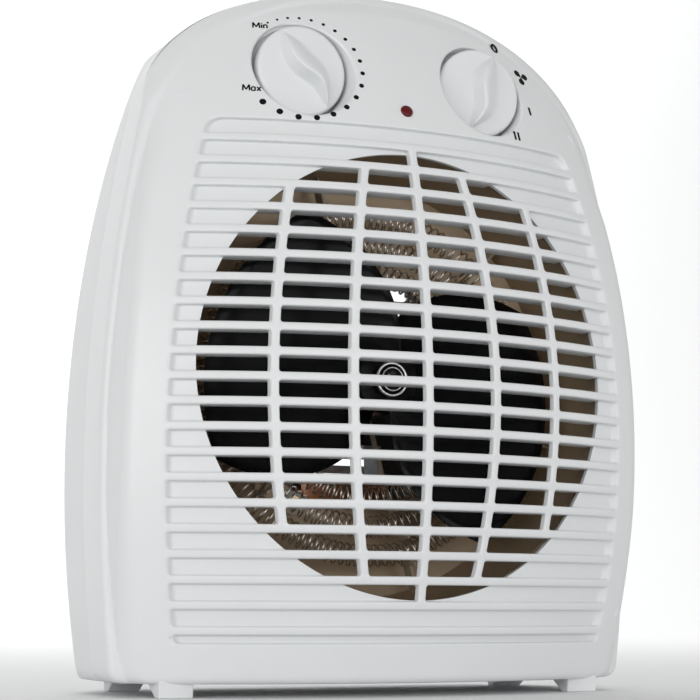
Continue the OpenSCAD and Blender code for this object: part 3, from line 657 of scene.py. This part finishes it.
def rear_fall(x, z, d, inset):
    """How far the back face stands in from its flat middle."""
    rim = BACK_TAPER_R + BACK_FLARE - inset - np.hypot(np.abs(x) + BACK_TAPER_R - BODY_W / 2, z - BELLY_Z)
    plan = quarter(rim, BACK_EDGE_R - inset)
    crown = quarter(BODY_H - inset - z, BACK_CROWN_R - inset)
    foot = quarter(np.maximum(z - FOOT_H - inset, 0), BACK_FOOT_R - inset)
    blend = 8
    parts = np.stack([plan, crown, foot])
    fall = (parts ** blend).sum(0) ** (1 / blend) + quarter(d, 4.0 - inset)
    return np.minimum(fall, BACK_Y - JOINT_Y - 0.9 - inset)


def build_rear():
    """Rear moulding: hollow shell, carry grip, intake slots, screw sinks and cord inlet."""
    def outer_y(x, z, d, near):
        d = d.copy()
        d[:, :len(near)] = np.asarray(near)[None, :]
        return BACK_Y - rear_fall(x, z, d, 0.0)

    def inner_y(x, z, d, near):
        d = d.copy()
        d[:, :len(near)] = np.asarray(near)[None, :]
        return BACK_Y - WALL - rear_fall(x, z, d, WALL)

    obj = shell_solid("rear_shell_body", REAR_NEAR, outer_y,
                      [(0.22, JOINT_Y), (0.0, JOINT_Y + 0.3)], edge_r=0)
    cavity = shell_solid("cavity", REAR_NEAR, inner_y, [(0.0, -6.0), (0.0, JOINT_Y)], inset=WALL, edge_r=0)
    boolean(cavity, rounded_box("grip_wall", -48.5, 48.5, 223.5, 252.5, 10, [(35.5, 0), (70, 0)]))
    for x, z in CASE_SCREWS:
        boolean(cavity, column("post", x, z, 6.0, -8, 70, 48))
    boolean(obj, cavity)
    grip_levels = [(38, -1.2), (38.3, -0.5), (39.2, 0), (56, 0), (59, 0.3), (61.5, 1.2), (63.2, 3), (66, 4)]
    boolean(obj, rounded_box("grip", -46, 46, 226, 250, 8, grip_levels))
    slots = Batch()
    arc = np.radians(np.linspace(-90, 90, 9))
    for k in range(-7, 8):
        z = AXIS_Z + SLOT_PITCH * k
        chord = math.sqrt(INTAKE_R ** 2 - (SLOT_PITCH * k) ** 2)
        edges = [-chord, -37.75, -34.25, -1.75, 1.75, 34.25, 37.75, chord]
        for x0, x1 in zip(edges[0::2], edges[1::2]):
            if x1 - x0 < 6 or max(abs(x0), abs(x1)) > chord + 0.1:
                continue
            levels = [(58.5, 0.0), (61.6, 0.0), (62.4, 0.12), (63.0, 0.55), (65, 1.0)]
            verts = []
            for y, grow in levels:
                wide = SLOT_R + grow
                verts += [(x1 - SLOT_R + wide * math.cos(t), y, z + wide * math.sin(t)) for t in arc]
                verts += [(x0 + SLOT_R - wide * math.cos(t), y, z - wide * math.sin(t)) for t in arc]
            slots.add(verts, ring_faces(len(levels), 2 * len(arc)))
    boolean(obj, slots.object("slots", 0, 0.0001))
    for x, z in CASE_SCREWS:
        boolean(obj, column("sink", x, z, 4.0, 12, 70, 48))
        boolean(obj, column("hole", x, z, 1.9, 0, 13, 48))
    boolean(obj, column("inlet", INLET_X, INLET_Z, INLET_R, 50, 70, 64))
    shade(obj, 32)
    return obj


# ------------------------------ knobs
RIDGE_H, RIDGE_WALL = 6.5, 2.7


def ridge_mid(t):
    """Centre line of the finger ridge along the knob."""
    return 0.6 + 3.3 * np.exp(-((t + 0.35) / 0.45) ** 2)


def ridge_half(t):
    """Half width of the finger ridge along the knob."""
    t = np.clip(t, -1, 1)
    return 6.4 * (1 - np.abs(t) ** np.where(t > 0, 2.6, 1.3))


def build_knob(name, side, turned):
    """Round knob with a ridge that is steep on one side and eases off on the other."""
    rows = 121
    ang = np.linspace(-90, 90, rows)
    v_all = KNOB_R * np.sin(np.radians(ang))
    edge = 1 - np.cos(np.linspace(0, np.pi / 2, 9))
    grid = []
    for v in v_all:
        half = math.sqrt(max(KNOB_R ** 2 - v * v, 0))
        t = v / (KNOB_R - 0.9)
        mid = float(np.clip(ridge_mid(t), -0.6 * half, 0.6 * half))
        reach = float(ridge_half(t)) if abs(t) < 1 else 0.0
        high = RIDGE_H * max(1 - abs(t) ** 2.6, 0) ** 0.85 if abs(t) < 1 else 0.0
        foot, end = mid - reach, mid + reach
        wall = min(RIDGE_WALL * (0.35 + 0.65 * high / RIDGE_H), reach)
        crest = foot + wall
        a = -half + (foot + half) * np.concatenate([edge * 0.5, np.linspace(0.5, 1, 8)[1:]])
        b = np.linspace(foot, crest, 13)[1:]
        c = np.linspace(crest, end, 19)[1:]
        d = half - (half - end) * np.concatenate([edge * 0.5, np.linspace(0.5, 1, 8)[1:]])[::-1]
        u = np.concatenate([a, b, c, d[1:]])
        w = np.clip((u - foot) / max(wall, 1e-6), 0, 1)
        s = np.clip((u - crest) / max(end - crest, 1e-6), 0, 1)
        climb = w * w * (3 - 2 * w)
        fall = np.cos(s * np.pi / 2) ** 1.5
        ridge = high * np.where(u <= crest, climb, fall) * (u > foot) * (u < end)
        rho = np.minimum(np.hypot(u, v), KNOB_R)
        h = 0.5 * (1 - (rho / KNOB_R) ** 2) + ridge - quarter(KNOB_R - rho, 1.2)
        grid.append(np.stack([u, np.full(len(u), v), h], 1))
    g = np.array(grid)
    n, cols = g.shape[:2]
    verts = g.reshape(-1, 3)
    faces = grid_faces(n, cols)
    ring = [i * cols for i in range(n)] + [i * cols + cols - 1 for i in range(n - 2, 0, -1)]
    base = len(verts)
    extra = []
    for r, h in ((KNOB_R - 0.02, -3.5), (KNOB_R - 0.1, -6.1), (KNOB_R - 0.5, -6.5)):
        p = verts[ring]
        p = p * (r / np.maximum(np.hypot(p[:, 0], p[:, 1]), 1e-6))[:, None]
        p[:, 2] = h
        extra.append(p)
    verts = np.concatenate([verts] + extra)
    m = len(ring)
    prev = list(ring)
    for k in range(3):
        cur = [base + k * m + i for i in range(m)]
        for i in range(m):
            j = (i + 1) % m
            faces.append((prev[i], prev[j], cur[j], cur[i]))
        prev = cur
    faces.append(prev)
    spin = at_knob(side) @ Matrix.Rotation(math.radians(turned), 4, "Z")
    obj = tidy_mesh(new_object(name, place(verts, spin), faces, 0), 0.001)
    shade(obj, 50)
    return obj


def build_spindle(name, side, inner):
    """D-cut spindle that reaches inner behind its recess and ends below the knob's face."""
    low = SEAT_FLOOR - SEAT_T - inner
    verts, faces = spun([(0, low), (4.7, low), (5, low + 0.3), (5, low + 1.5), (3, low + 1.5), (3, -0.7),
                         (2.6, -0.3), (0, -0.3)], 64)
    flat = verts[:, 2] > SEAT_FLOOR + 2
    verts[flat, 0] = np.minimum(verts[flat, 0], 2.0)
    obj = tidy_mesh(new_object(name, place(verts, at_knob(side)), faces, 0), 0.0001)
    shade(obj, 35)
    return obj


# ------------------------------ printed dial
def on_panel(side, a, b):
    """Point on the dome for a position in the panel's plane round a knob."""
    lean, out = math.radians(21), math.radians(9 * side)
    cx, cz = side * 39.0, 234.2
    n = Vector((math.sin(out) * math.cos(lean), -math.cos(out) * math.cos(lean), math.sin(lean)))
    ax = Vector((math.cos(out), math.sin(out), 0))
    ay = n.cross(ax)
    p = Vector((cx, float(dome(cx, cz)), cz)) + ax * a + ay * b
    for _ in range(4):
        gap = p.y - float(dome(p.x, p.z))
        p = p - n * (gap / n.y)
    return p


def mark(batch, side, outline):
    """A thin printed shape given as a closed outline in the panel's plane."""
    pts = [on_panel(side, a, b) for a, b in outline]
    n = len(pts)
    verts = [(p.x, p.y - 0.05, p.z) for p in pts] + [(p.x, p.y + 0.25, p.z) for p in pts]
    faces = [list(range(n)), list(range(2 * n - 1, n - 1, -1))]
    faces += [(i, n + i, n + (i + 1) % n, (i + 1) % n) for i in range(n)]
    batch.add(verts, faces)


def stroke(batch, side, a, b, width):
    """Printed line from a to b."""
    a, b = np.asarray(a, float), np.asarray(b, float)
    d = (b - a) / np.linalg.norm(b - a)
    q = np.array([-d[1], d[0]]) * width / 2
    mark(batch, side, [a - q, b - q, b + q, a + q])


def dot(batch, side, a, b, r, steps=18):
    """Printed round dot."""
    t = np.linspace(0, 2 * np.pi, steps, endpoint=False)
    mark(batch, side, [(a + r * math.cos(q), b + r * math.sin(q)) for q in t])


def ring_mark(batch, side, a, b, ra, rb, width, steps=24):
    """Printed oval ring."""
    t = np.radians(np.linspace(0, 360, steps + 1))
    for q, w in zip(t[:-1], t[1:]):
        out = [(a + (ra + e) * math.cos(k), b + (rb + e) * math.sin(k))
               for k, e in ((q, -width / 2), (w, -width / 2), (w, width / 2), (q, width / 2))]
        mark(batch, side, out)


# Each letter is its width and its strokes
LETTERS = {
    "M": (2.5, [((0, 0), (0.1, 2.7)), ((0.1, 2.7), (1.25, 0.5)), ((1.25, 0.5), (2.4, 2.7)),
                ((2.4, 2.7), (2.5, 0))]),
    "i": (0.3, [((0.15, 0), (0.15, 1.75)), ((0.15, 2.2), (0.15, 2.6))]),
    "n": (1.3, [((0, 0), (0, 1.8)), ((0, 1.25), (0.35, 1.75)), ((0.35, 1.75), (0.95, 1.75)),
                ((0.95, 1.75), (1.25, 1.35)), ((1.25, 1.35), (1.25, 0))]),
    "a": (1.5, [((1.4, 0), (1.4, 1.8)), ((1.4, 1.4), (1.0, 1.8)), ((1.0, 1.8), (0.4, 1.7)),
                ((0.4, 1.7), (0.0, 1.15)), ((0.0, 1.15), (0.0, 0.6)), ((0.0, 0.6), (0.4, 0.08)),
                ((0.4, 0.08), (1.0, 0.02)), ((1.0, 0.02), (1.4, 0.4))]),
    "x": (1.4, [((0, 0), (1.35, 1.8)), ((0, 1.8), (1.35, 0))]),
}


def word(batch, side, text, at, tilt):
    """Printed word of straight strokes."""
    c, s = math.cos(math.radians(tilt)), math.sin(math.radians(tilt))
    x = 0.0
    for letter in text:
        width, lines = LETTERS[letter]
        for (a0, b0), (a1, b1) in lines:
            p = [(at[0] + (x + a) * c - b * s, at[1] + (x + a) * s + b * c)
                 for a, b in ((a0, b0), (a1, b1))]
            stroke(batch, side, p[0], p[1], 0.6)
        x += width + 0.65


def build_dial():
    """Growing dots round the thermostat, and off, fan, one bar and two bars round the switch."""
    batch = Batch()
    dots, r = 19, 23.5
    for i in range(dots):
        f = i / (dots - 1)
        bearing = math.radians(-29.5 + 253.5 * (0.7 * f + 0.3 * f * f))
        dot(batch, -1, r * math.sin(bearing) + 0.2, r * math.cos(bearing) + 0.4, 0.46 + 0.85 * f)
    word(batch, -1, "Min", (-17.2, 18.2), -2)
    word(batch, -1, "Max", (-23.2, -11.4), -3)

    def at(bearing, r):
        q = math.radians(bearing)
        return r * math.sin(q), r * math.cos(q)

    a, b = at(28, 23.6)
    a, b = a + 1.9, b + 3.0
    ring_mark(batch, 1, a, b, 1.2, 1.9, 1.0)
    a, b = at(65, 25.2)
    a, b = a + 0.6, b + 1.2
    for k in range(3):
        q0 = math.radians(120 * k + 100)
        pts = [(a, b)]
        for f in np.linspace(0, 1, 8):
            w = q0 + f * 1.35
            r = 3.9 * math.sin(math.pi * (0.12 + 0.76 * f)) ** 0.5
            pts.append((a + r * math.cos(w), b + r * math.sin(w)))
        mark(batch, 1, pts)
    a, b = at(107, 24.4)
    a, b = a - 0.9, b + 2.1
    stroke(batch, 1, (a, b - 1.9), (a, b + 1.9), 1.15)
    a, b = at(141, 25.2)
    a, b = a - 4.9, b + 0.3
    for s in (-1.0, 1.0):
        stroke(batch, 1, (a + s, b - 1.9), (a + s, b + 1.9), 1.1)
    return batch.object("dial_print", 0)


# ------------------------------ fan
def build_fan():
    """Two wide blades that run back across their width, on a hub with six ribs."""
    batch = Batch()
    nu, nv = 44, 26
    root = 11.0
    sweep_back, thick = 18.0, 1.8
    for blade in range(2):
        sheets = []
        for face in (0, 1):
            pts = []
            for i in range(nu + 1):
                for j in range(nv + 1):
                    u, v = i / nu, j / nv
                    r = root + (FAN_R - root) * v
                    low = -59 - 0.7 * (FAN_R - r)
                    high = 26 + 1.0 * (FAN_R - r)
                    a = math.radians(low + (high - low) * u)
                    edge = min(u * (high - low) / 57.3 * r, (1 - u) * (high - low) / 57.3 * r, FAN_R - r)
                    thin = 1 - max(0.0, 1 - edge / 0.9) ** 2 * 0.75
                    y = FAN_FRONT + sweep_back * u + thick / 2 + (face - 0.5) * thick * thin
                    pts.append((r * math.cos(a), y, r * math.sin(a)))
            sheets.append(pts)
        n = (nu + 1) * (nv + 1)
        verts = np.array(sheets[0] + sheets[1])
        faces = grid_faces(nu + 1, nv + 1)
        faces += [tuple(n + k for k in f[::-1]) for f in grid_faces(nu + 1, nv + 1)]
        ring = [j for j in range(nv + 1)]
        ring += [i * (nv + 1) + nv for i in range(1, nu + 1)]
        ring += [nu * (nv + 1) + j for j in range(nv - 1, -1, -1)]
        ring += [i * (nv + 1) for i in range(nu - 1, 0, -1)]
        faces += [(p, n + p, n + q, q) for p, q in zip(ring, ring[1:] + ring[:1])]
        q = math.pi * blade
        c, s = math.cos(q), math.sin(q)
        x, y, z = verts.T
        batch.add(np.stack([x * c + z * s, y, z * c - x * s + AXIS_Z], 1), faces)
    collar = [(2.6, -31.0), (4.9, -31.0), (5.25, -30.8), (5.4, -30.4), (5.4, -27.6), (5.7, -27.2),
              (6.2, -27.0)]
    skirt = [(11.6, -27.0), (12.4, -26.75), (12.85, -26.2), (13.0, -25.4), (13.0, -15.0), (12.6, -14.5),
             (2.6, -14.5)]
    batch.add(*spun(collar + skirt, 96, on_axis(0, 0, AXIS_Z)))
    for k in range(6):
        q = math.radians(60 * k + 30)
        c, s = math.cos(q), math.sin(q)
        rib = [(6.0, -0.6, -27.7), (12.3, -0.6, -26.9), (12.3, 0.6, -26.9), (6.0, 0.6, -27.7),
               (6.0, -0.6, -26.0), (12.3, -0.6, -26.0), (12.3, 0.6, -26.0), (6.0, 0.6, -26.0)]
        verts = [(a * c - b * s, y, a * s + b * c + AXIS_Z) for a, b, y in rib]
        batch.add(verts, BRICK)
    return batch.object("fan_moulding", 35)


def torus(ring_r, tube_r, y, steps=96):
    """Ring round the fan's axis."""
    turn = np.radians(np.arange(0, 360, 24))
    profile = [(ring_r + tube_r * math.cos(q), y + tube_r * math.sin(q)) for q in turn]
    return spun(profile, steps, on_axis(0, 0, AXIS_Z))


def build_clip():
    """Spring clip on the hub."""
    batch = Batch()
    batch.add(*torus(6.1, 0.72, -30.1))
    batch.add(*torus(4.35, 0.3, -31.0))
    batch.add(*spun([(5.45, -29.8), (6.4, -29.8), (6.4, -27.4), (5.45, -27.4)], 64, on_axis(0, 0, AXIS_Z)))
    return batch.object("clip_ring", 40)


# ------------------------------ coiled heating wire
WIRE_R, COIL_R, COIL_Y = 0.42, 4.2, -8.0
# Name, radius of the ring, turns of the helix and phase of its waviness
COILS = [("outer", 66, 138, 0.0), ("middle", 55, 115, 1.3), ("inner", 44, 92, 2.1)]


def build_coil(name, ring_r, turns, phase):
    """Real helix of a ring of coiled wire."""
    per_turn, sides = 14, 6
    n = turns * per_turn
    t = np.linspace(0, 2 * np.pi, n, endpoint=False)
    wob = 0.25 * np.sin(7 * t + phase) + 0.18 * np.sin(13 * t + 2 * phase)
    spin = t * turns
    radial = np.stack([np.cos(t), np.zeros(n), np.sin(t)], 1)
    axial = np.array([0, 1.0, 0])
    out = radial * np.cos(spin)[:, None] + axial * np.sin(spin)[:, None]
    centre = radial * (ring_r + wob)[:, None] + np.array([0, COIL_Y, AXIS_Z])
    path = centre + out * COIL_R
    along = np.roll(path, -1, 0) - np.roll(path, 1, 0)
    along /= np.linalg.norm(along, axis=1)[:, None]
    side_a = out - along * (out * along).sum(1)[:, None]
    side_a /= np.linalg.norm(side_a, axis=1)[:, None]
    side_b = np.cross(along, side_a)
    verts = []
    for k in range(sides):
        q = 2 * np.pi * k / sides
        verts.append(path + (side_a * math.cos(q) + side_b * math.sin(q)) * WIRE_R)
    verts = np.stack(verts, 1).reshape(-1, 3)
    faces = []
    for i in range(n):
        j = (i + 1) % n
        for k in range(sides):
            m = (k + 1) % sides
            faces.append((i * sides + k, i * sides + m, j * sides + m, j * sides + k))
    return new_object(name, verts, faces, 60)


# ------------------------------ indicator lens
def build_lens():
    """Flanged lens with a low crown."""
    lean = Matrix.Rotation(math.radians(90 - LENS_LEAN), 4, "X")
    m = Matrix.Translation((0, float(dome(0, LENS_Z)), LENS_Z)) @ lean
    profile = [(0.0, -5.2), (3.2, -5.2), (3.2, -3.6), (2.5, -3.6), (2.5, 0.1), (2.42, 0.3)]
    crown = np.radians(range(12, 91, 13))
    profile += [(2.42 * math.cos(q), 0.3 + 0.85 * math.sin(q)) for q in crown]
    profile.append((0.0, 1.15))
    batch = Batch()
    batch.add(*spun(profile, 64, m))
    return tidy_mesh(batch.object("lens_cap", 0), 0.001)


# ------------------------------ materials
def material(name, base, rough=0.4, metal=0.0, coat=0.0, noise=0.0, scale=300.0, bump=0.0, tone=0.0,
             **extra):
    """Procedural surface; noise varies the roughness, tone the colour and bump the height."""
    mat = bpy.data.materials.new(name)
    mat.use_nodes = True
    nodes, links = mat.node_tree.nodes, mat.node_tree.links
    bsdf = nodes["Principled BSDF"]
    bsdf.inputs["Base Color"].default_value = (*base, 1)
    bsdf.inputs["Roughness"].default_value = rough
    bsdf.inputs["Metallic"].default_value = metal
    bsdf.inputs["Coat Weight"].default_value = coat
    for key, value in extra.items():
        bsdf.inputs[key.replace("_", " ")].default_value = value
    coord = nodes.new("ShaderNodeTexCoord")
    tex = nodes.new("ShaderNodeTexNoise")
    tex.inputs["Scale"].default_value = scale
    tex.inputs["Detail"].default_value = 4
    links.new(coord.outputs["Object"], tex.inputs["Vector"])
    if noise:
        ramp = nodes.new("ShaderNodeMapRange")
        ramp.inputs["To Min"].default_value = max(rough - noise, 0.02)
        ramp.inputs["To Max"].default_value = min(rough + noise, 1)
        links.new(tex.outputs["Fac"], ramp.inputs["Value"])
        links.new(ramp.outputs["Result"], bsdf.inputs["Roughness"])
    if tone:
        slow = nodes.new("ShaderNodeTexNoise")
        slow.inputs["Scale"].default_value = scale / 12
        links.new(coord.outputs["Object"], slow.inputs["Vector"])
        mix = nodes.new("ShaderNodeMix")
        mix.data_type = "RGBA"
        mix.inputs["A"].default_value = (*[c * (1 - tone) for c in base], 1)
        mix.inputs["B"].default_value = (*[min(c * (1 + tone), 1) for c in base], 1)
        links.new(slow.outputs["Fac"], mix.inputs["Factor"])
        links.new(mix.outputs["Result"], bsdf.inputs["Base Color"])
    if bump:
        node = nodes.new("ShaderNodeBump")
        node.inputs["Strength"].default_value = bump
        node.inputs["Distance"].default_value = 0.0001
        links.new(tex.outputs["Fac"], node.inputs["Height"])
        links.new(node.outputs["Normal"], bsdf.inputs["Normal"])
    return mat


# Surfaces by short name
M = {
    "white_abs": material("white_abs", (0.76, 0.775, 0.785), 0.36, noise=0.05, scale=900, bump=0.05,
                          tone=0.012),
    "rear_abs": material("rear_abs", (0.74, 0.755, 0.765), 0.42, noise=0.05, scale=900, bump=0.08,
                         tone=0.012),
    "pan_metal": material("pan_metal", (0.52, 0.40, 0.27), 0.38, metal=0.3, noise=0.1, scale=60,
                          bump=0.05, tone=0.12),
    "mica": material("mica", (0.50, 0.43, 0.33), 0.55, noise=0.2, scale=500, bump=0.2, tone=0.15),
    "wire": material("resistance_wire", (0.66, 0.60, 0.54), 0.24, metal=0.95, noise=0.1, scale=400),
    "black": material("black_blade", (0.005, 0.005, 0.006), 0.22, noise=0.05, scale=300, bump=0.03,
                      Specular_IOR_Level=0.12),
    "zinc": material("zinc_steel", (0.62, 0.62, 0.60), 0.32, metal=1.0, noise=0.1, scale=300, bump=0.04),
    "chrome": material("bright_steel", (0.82, 0.82, 0.84), 0.12, metal=1.0, noise=0.04, scale=300),
    "alu": material("rotor_alu", (0.66, 0.67, 0.68), 0.4, metal=1.0, noise=0.1, scale=400, bump=0.1),
    "steel_dark": material("lamination", (0.16, 0.165, 0.175), 0.45, metal=0.9, noise=0.15, scale=400,
                           bump=0.1),
    "copper": material("copper_winding", (0.45, 0.16, 0.06), 0.3, metal=0.6, coat=0.4, noise=0.08,
                       scale=300),
    "bronze": material("sintered_bronze", (0.45, 0.30, 0.16), 0.5, metal=0.9, noise=0.1, scale=600,
                       bump=0.2),
    "brass": material("brass_part", (0.72, 0.54, 0.25), 0.28, metal=1.0, noise=0.08, scale=300),
    "bimetal": material("bimetal", (0.62, 0.60, 0.55), 0.35, metal=1.0, noise=0.08, scale=300),
    "phenolic": material("phenolic_brown", (0.16, 0.085, 0.045), 0.45, noise=0.1, scale=500, bump=0.1,
                         tone=0.1),
    "ivory": material("ivory_plastic", (0.74, 0.70, 0.60), 0.45, noise=0.08, scale=500, bump=0.05,
                      tone=0.02),
    "ceramic": material("steatite", (0.78, 0.75, 0.67), 0.6, noise=0.1, scale=700, bump=0.15, tone=0.03),
    "fibre": material("fibre_washer", (0.20, 0.09, 0.05), 0.7, noise=0.1, scale=600, bump=0.2),
    "nylon": material("white_nylon", (0.78, 0.78, 0.75), 0.45, noise=0.06, scale=500, bump=0.05),
    "lead": material("silicone_lead", (0.66, 0.66, 0.62), 0.6, noise=0.1, scale=1500, bump=0.3,
                     tone=0.05),
    "black_plastic": material("black_phenolic", (0.02, 0.02, 0.02), 0.45, noise=0.1, scale=500, bump=0.1),
    "red": material("lens_red", (0.11, 0.004, 0.006), 0.14, noise=0.03, scale=300,
                    Specular_IOR_Level=0.3),
    "glass": material("neon_glass", (0.9, 0.55, 0.35), 0.08, noise=0.02, scale=300,
                      Transmission_Weight=0.9),
    "ink": material("dial_ink", (0.006, 0.006, 0.007), 0.5, noise=0.05, scale=300,
                    Specular_IOR_Level=0.1),
}

# Material slot of each CAD node, and the surface that shows it
SLOT_OF = {s["node"]: s["material_slot"] for s in frame["record"]["subparts"]}
BY_SLOT = {
    "white_abs": "white_abs", "rear_abs": "rear_abs", "lens_red": "red", "neon_glass": "glass",
    "phenolic_brown": "phenolic", "ivory_plastic": "ivory", "brass_part": "brass", "bimetal": "bimetal",
    "zinc_steel": "zinc", "pan_metal": "pan_metal", "mica": "mica", "resistance_wire": "wire",
    "steatite": "ceramic", "black_phenolic": "black_plastic", "lamination": "steel_dark",
    "copper_winding": "copper", "sintered_bronze": "bronze", "rotor_alu": "alu", "fibre_washer": "fibre",
    "bright_steel": "chrome", "black_blade": "black", "white_nylon": "nylon", "silicone_lead": "lead",
}
for name, obj in frame["nodes"].items():
    obj.data.materials.clear()
    obj.data.materials.append(M[BY_SLOT[SLOT_OF[name]]])


def finish_piece(obj, body, slot, mat, *nodes):
    """Gives a piece its material and body, and hides the nodes that it replaces; slot is not used."""
    obj.data.materials.clear()
    obj.data.materials.append(M[mat])
    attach(obj, body)
    if nodes:
        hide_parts(*nodes)


finish_piece(front, "housing", "white_abs", "white_abs", "front_shell")
finish_piece(feet("front_feet", -28, False), "housing", "white_abs", "white_abs")
finish_piece(front_bosses(), "housing", "white_abs", "white_abs")
finish_piece(build_rear(), "housing", "rear_abs", "rear_abs", "rear_shell")
finish_piece(feet("rear_feet", 38, True), "housing", "rear_abs", "rear_abs")
finish_piece(build_knob("thermostat_dial", -1, 33), "thermostat_control", "white_abs", "white_abs",
             "thermostat_knob")
finish_piece(build_knob("switch_dial", 1, -22), "switch_control", "white_abs", "white_abs", "switch_knob")
finish_piece(build_spindle("thermostat_stem", -1, 12), "thermostat_control", "brass_part", "brass",
             "thermostat_spindle")
finish_piece(build_spindle("switch_stem", 1, 14), "switch_control", "ivory_plastic", "ivory",
             "switch_spindle")
finish_piece(build_clip(), "fan", "bright_steel", "chrome", "hub_clip")
finish_piece(build_dial(), "housing", "white_abs", "ink")
finish_piece(build_fan(), "fan", "black_blade", "black", "fan_impeller")
for which, ring_r, turns, phase in COILS:
    coil = build_coil("coil_" + which, ring_r, turns, phase)
    finish_piece(coil, "housing", "resistance_wire", "wire", "heating_coil_" + which)
lens = build_lens()
shade(lens, 40)
finish_piece(lens, "housing", "lens_red", "red", "indicator_lens")


# ------------------------------ stage, light and camera
def build_stage():
    """Pale floor that bends up into a backdrop, in metres."""
    size = 3.0
    mesh = bpy.data.meshes.new("floor")
    n = 24
    bend = np.radians(np.linspace(0, 90, n))
    arc = [(-size, 0.0)] + [(1.2 + 0.9 * math.sin(q), 0.9 * (1 - math.cos(q))) for q in bend] + [(2.1, 3.0)]
    verts = [(x, y, z) for y, z in arc for x in (-4.0, 4.0)]
    faces = [(2 * i, 2 * i + 1, 2 * i + 3, 2 * i + 2) for i in range(len(arc) - 1)]
    mesh.from_pydata(verts, [], faces)
    obj = bpy.data.objects.new("floor", mesh)
    bpy.context.scene.collection.objects.link(obj)
    shade(obj, 60)
    obj.data.materials.append(material("floor_paper", (0.86, 0.865, 0.87), 0.7, noise=0.05, scale=40))


def area_light(name, at, target, size, power, colour=(1, 1, 1)):
    """Rectangular light at a place in metres that faces target."""
    data = bpy.data.lights.new(name, "AREA")
    data.shape = "RECTANGLE"
    data.size, data.size_y = size
    data.energy = power
    data.color = colour
    obj = bpy.data.objects.new(name, data)
    bpy.context.scene.collection.objects.link(obj)
    obj.location = at
    obj.rotation_euler = (Vector(target) - Vector(at)).to_track_quat("-Z", "Y").to_euler()


build_stage()
centre = (0, 0, 0.13)
area_light("key", (-1.6, -1.3, 0.36), centre, (1.6, 0.8), 15.2, (1.0, 0.995, 0.985))
area_light("front", (0.3, -1.9, 0.25), centre, (1.4, 0.5), 6.8)
area_light("right", (1.6, -0.7, 0.4), centre, (1.2, 0.8), 2.4)
area_light("backdrop", (0.2, 0.7, 1.7), (0.2, 2.4, 0.7), (3.0, 0.8), 34)

world = bpy.data.worlds.new("studio")
bpy.context.scene.world = world
world.use_nodes = True
world.node_tree.nodes["Background"].inputs["Color"].default_value = (1.0, 0.995, 0.985, 1)
world.node_tree.nodes["Background"].inputs["Strength"].default_value = 0.44

CAMERA_AT = (-316.0, -689.2, 33.0)
CAMERA_RIGHT, CAMERA_AHEAD = (0.9107, -0.4131, 0.0034), (0.4094, 0.9035, 0.1265)
camera = bpy.data.objects.new("camera", bpy.data.cameras.new("camera"))
bpy.context.scene.collection.objects.link(camera)
right = Vector(CAMERA_RIGHT).normalized()
ahead = Vector(CAMERA_AHEAD).normalized()
up = right.cross(ahead).normalized()
turn = Matrix((right, up, -ahead)).transposed().to_4x4()
camera.matrix_world = Matrix.Translation(Vector(CAMERA_AT) * MM) @ turn
camera.data.lens = 99.9
camera.data.sensor_width = 36
camera.data.shift_y = 0.011
camera.data.clip_start = 0.02
camera.data.clip_end = 20
bpy.context.scene.camera = camera
bpy.context.scene.view_settings.view_transform = "Standard"
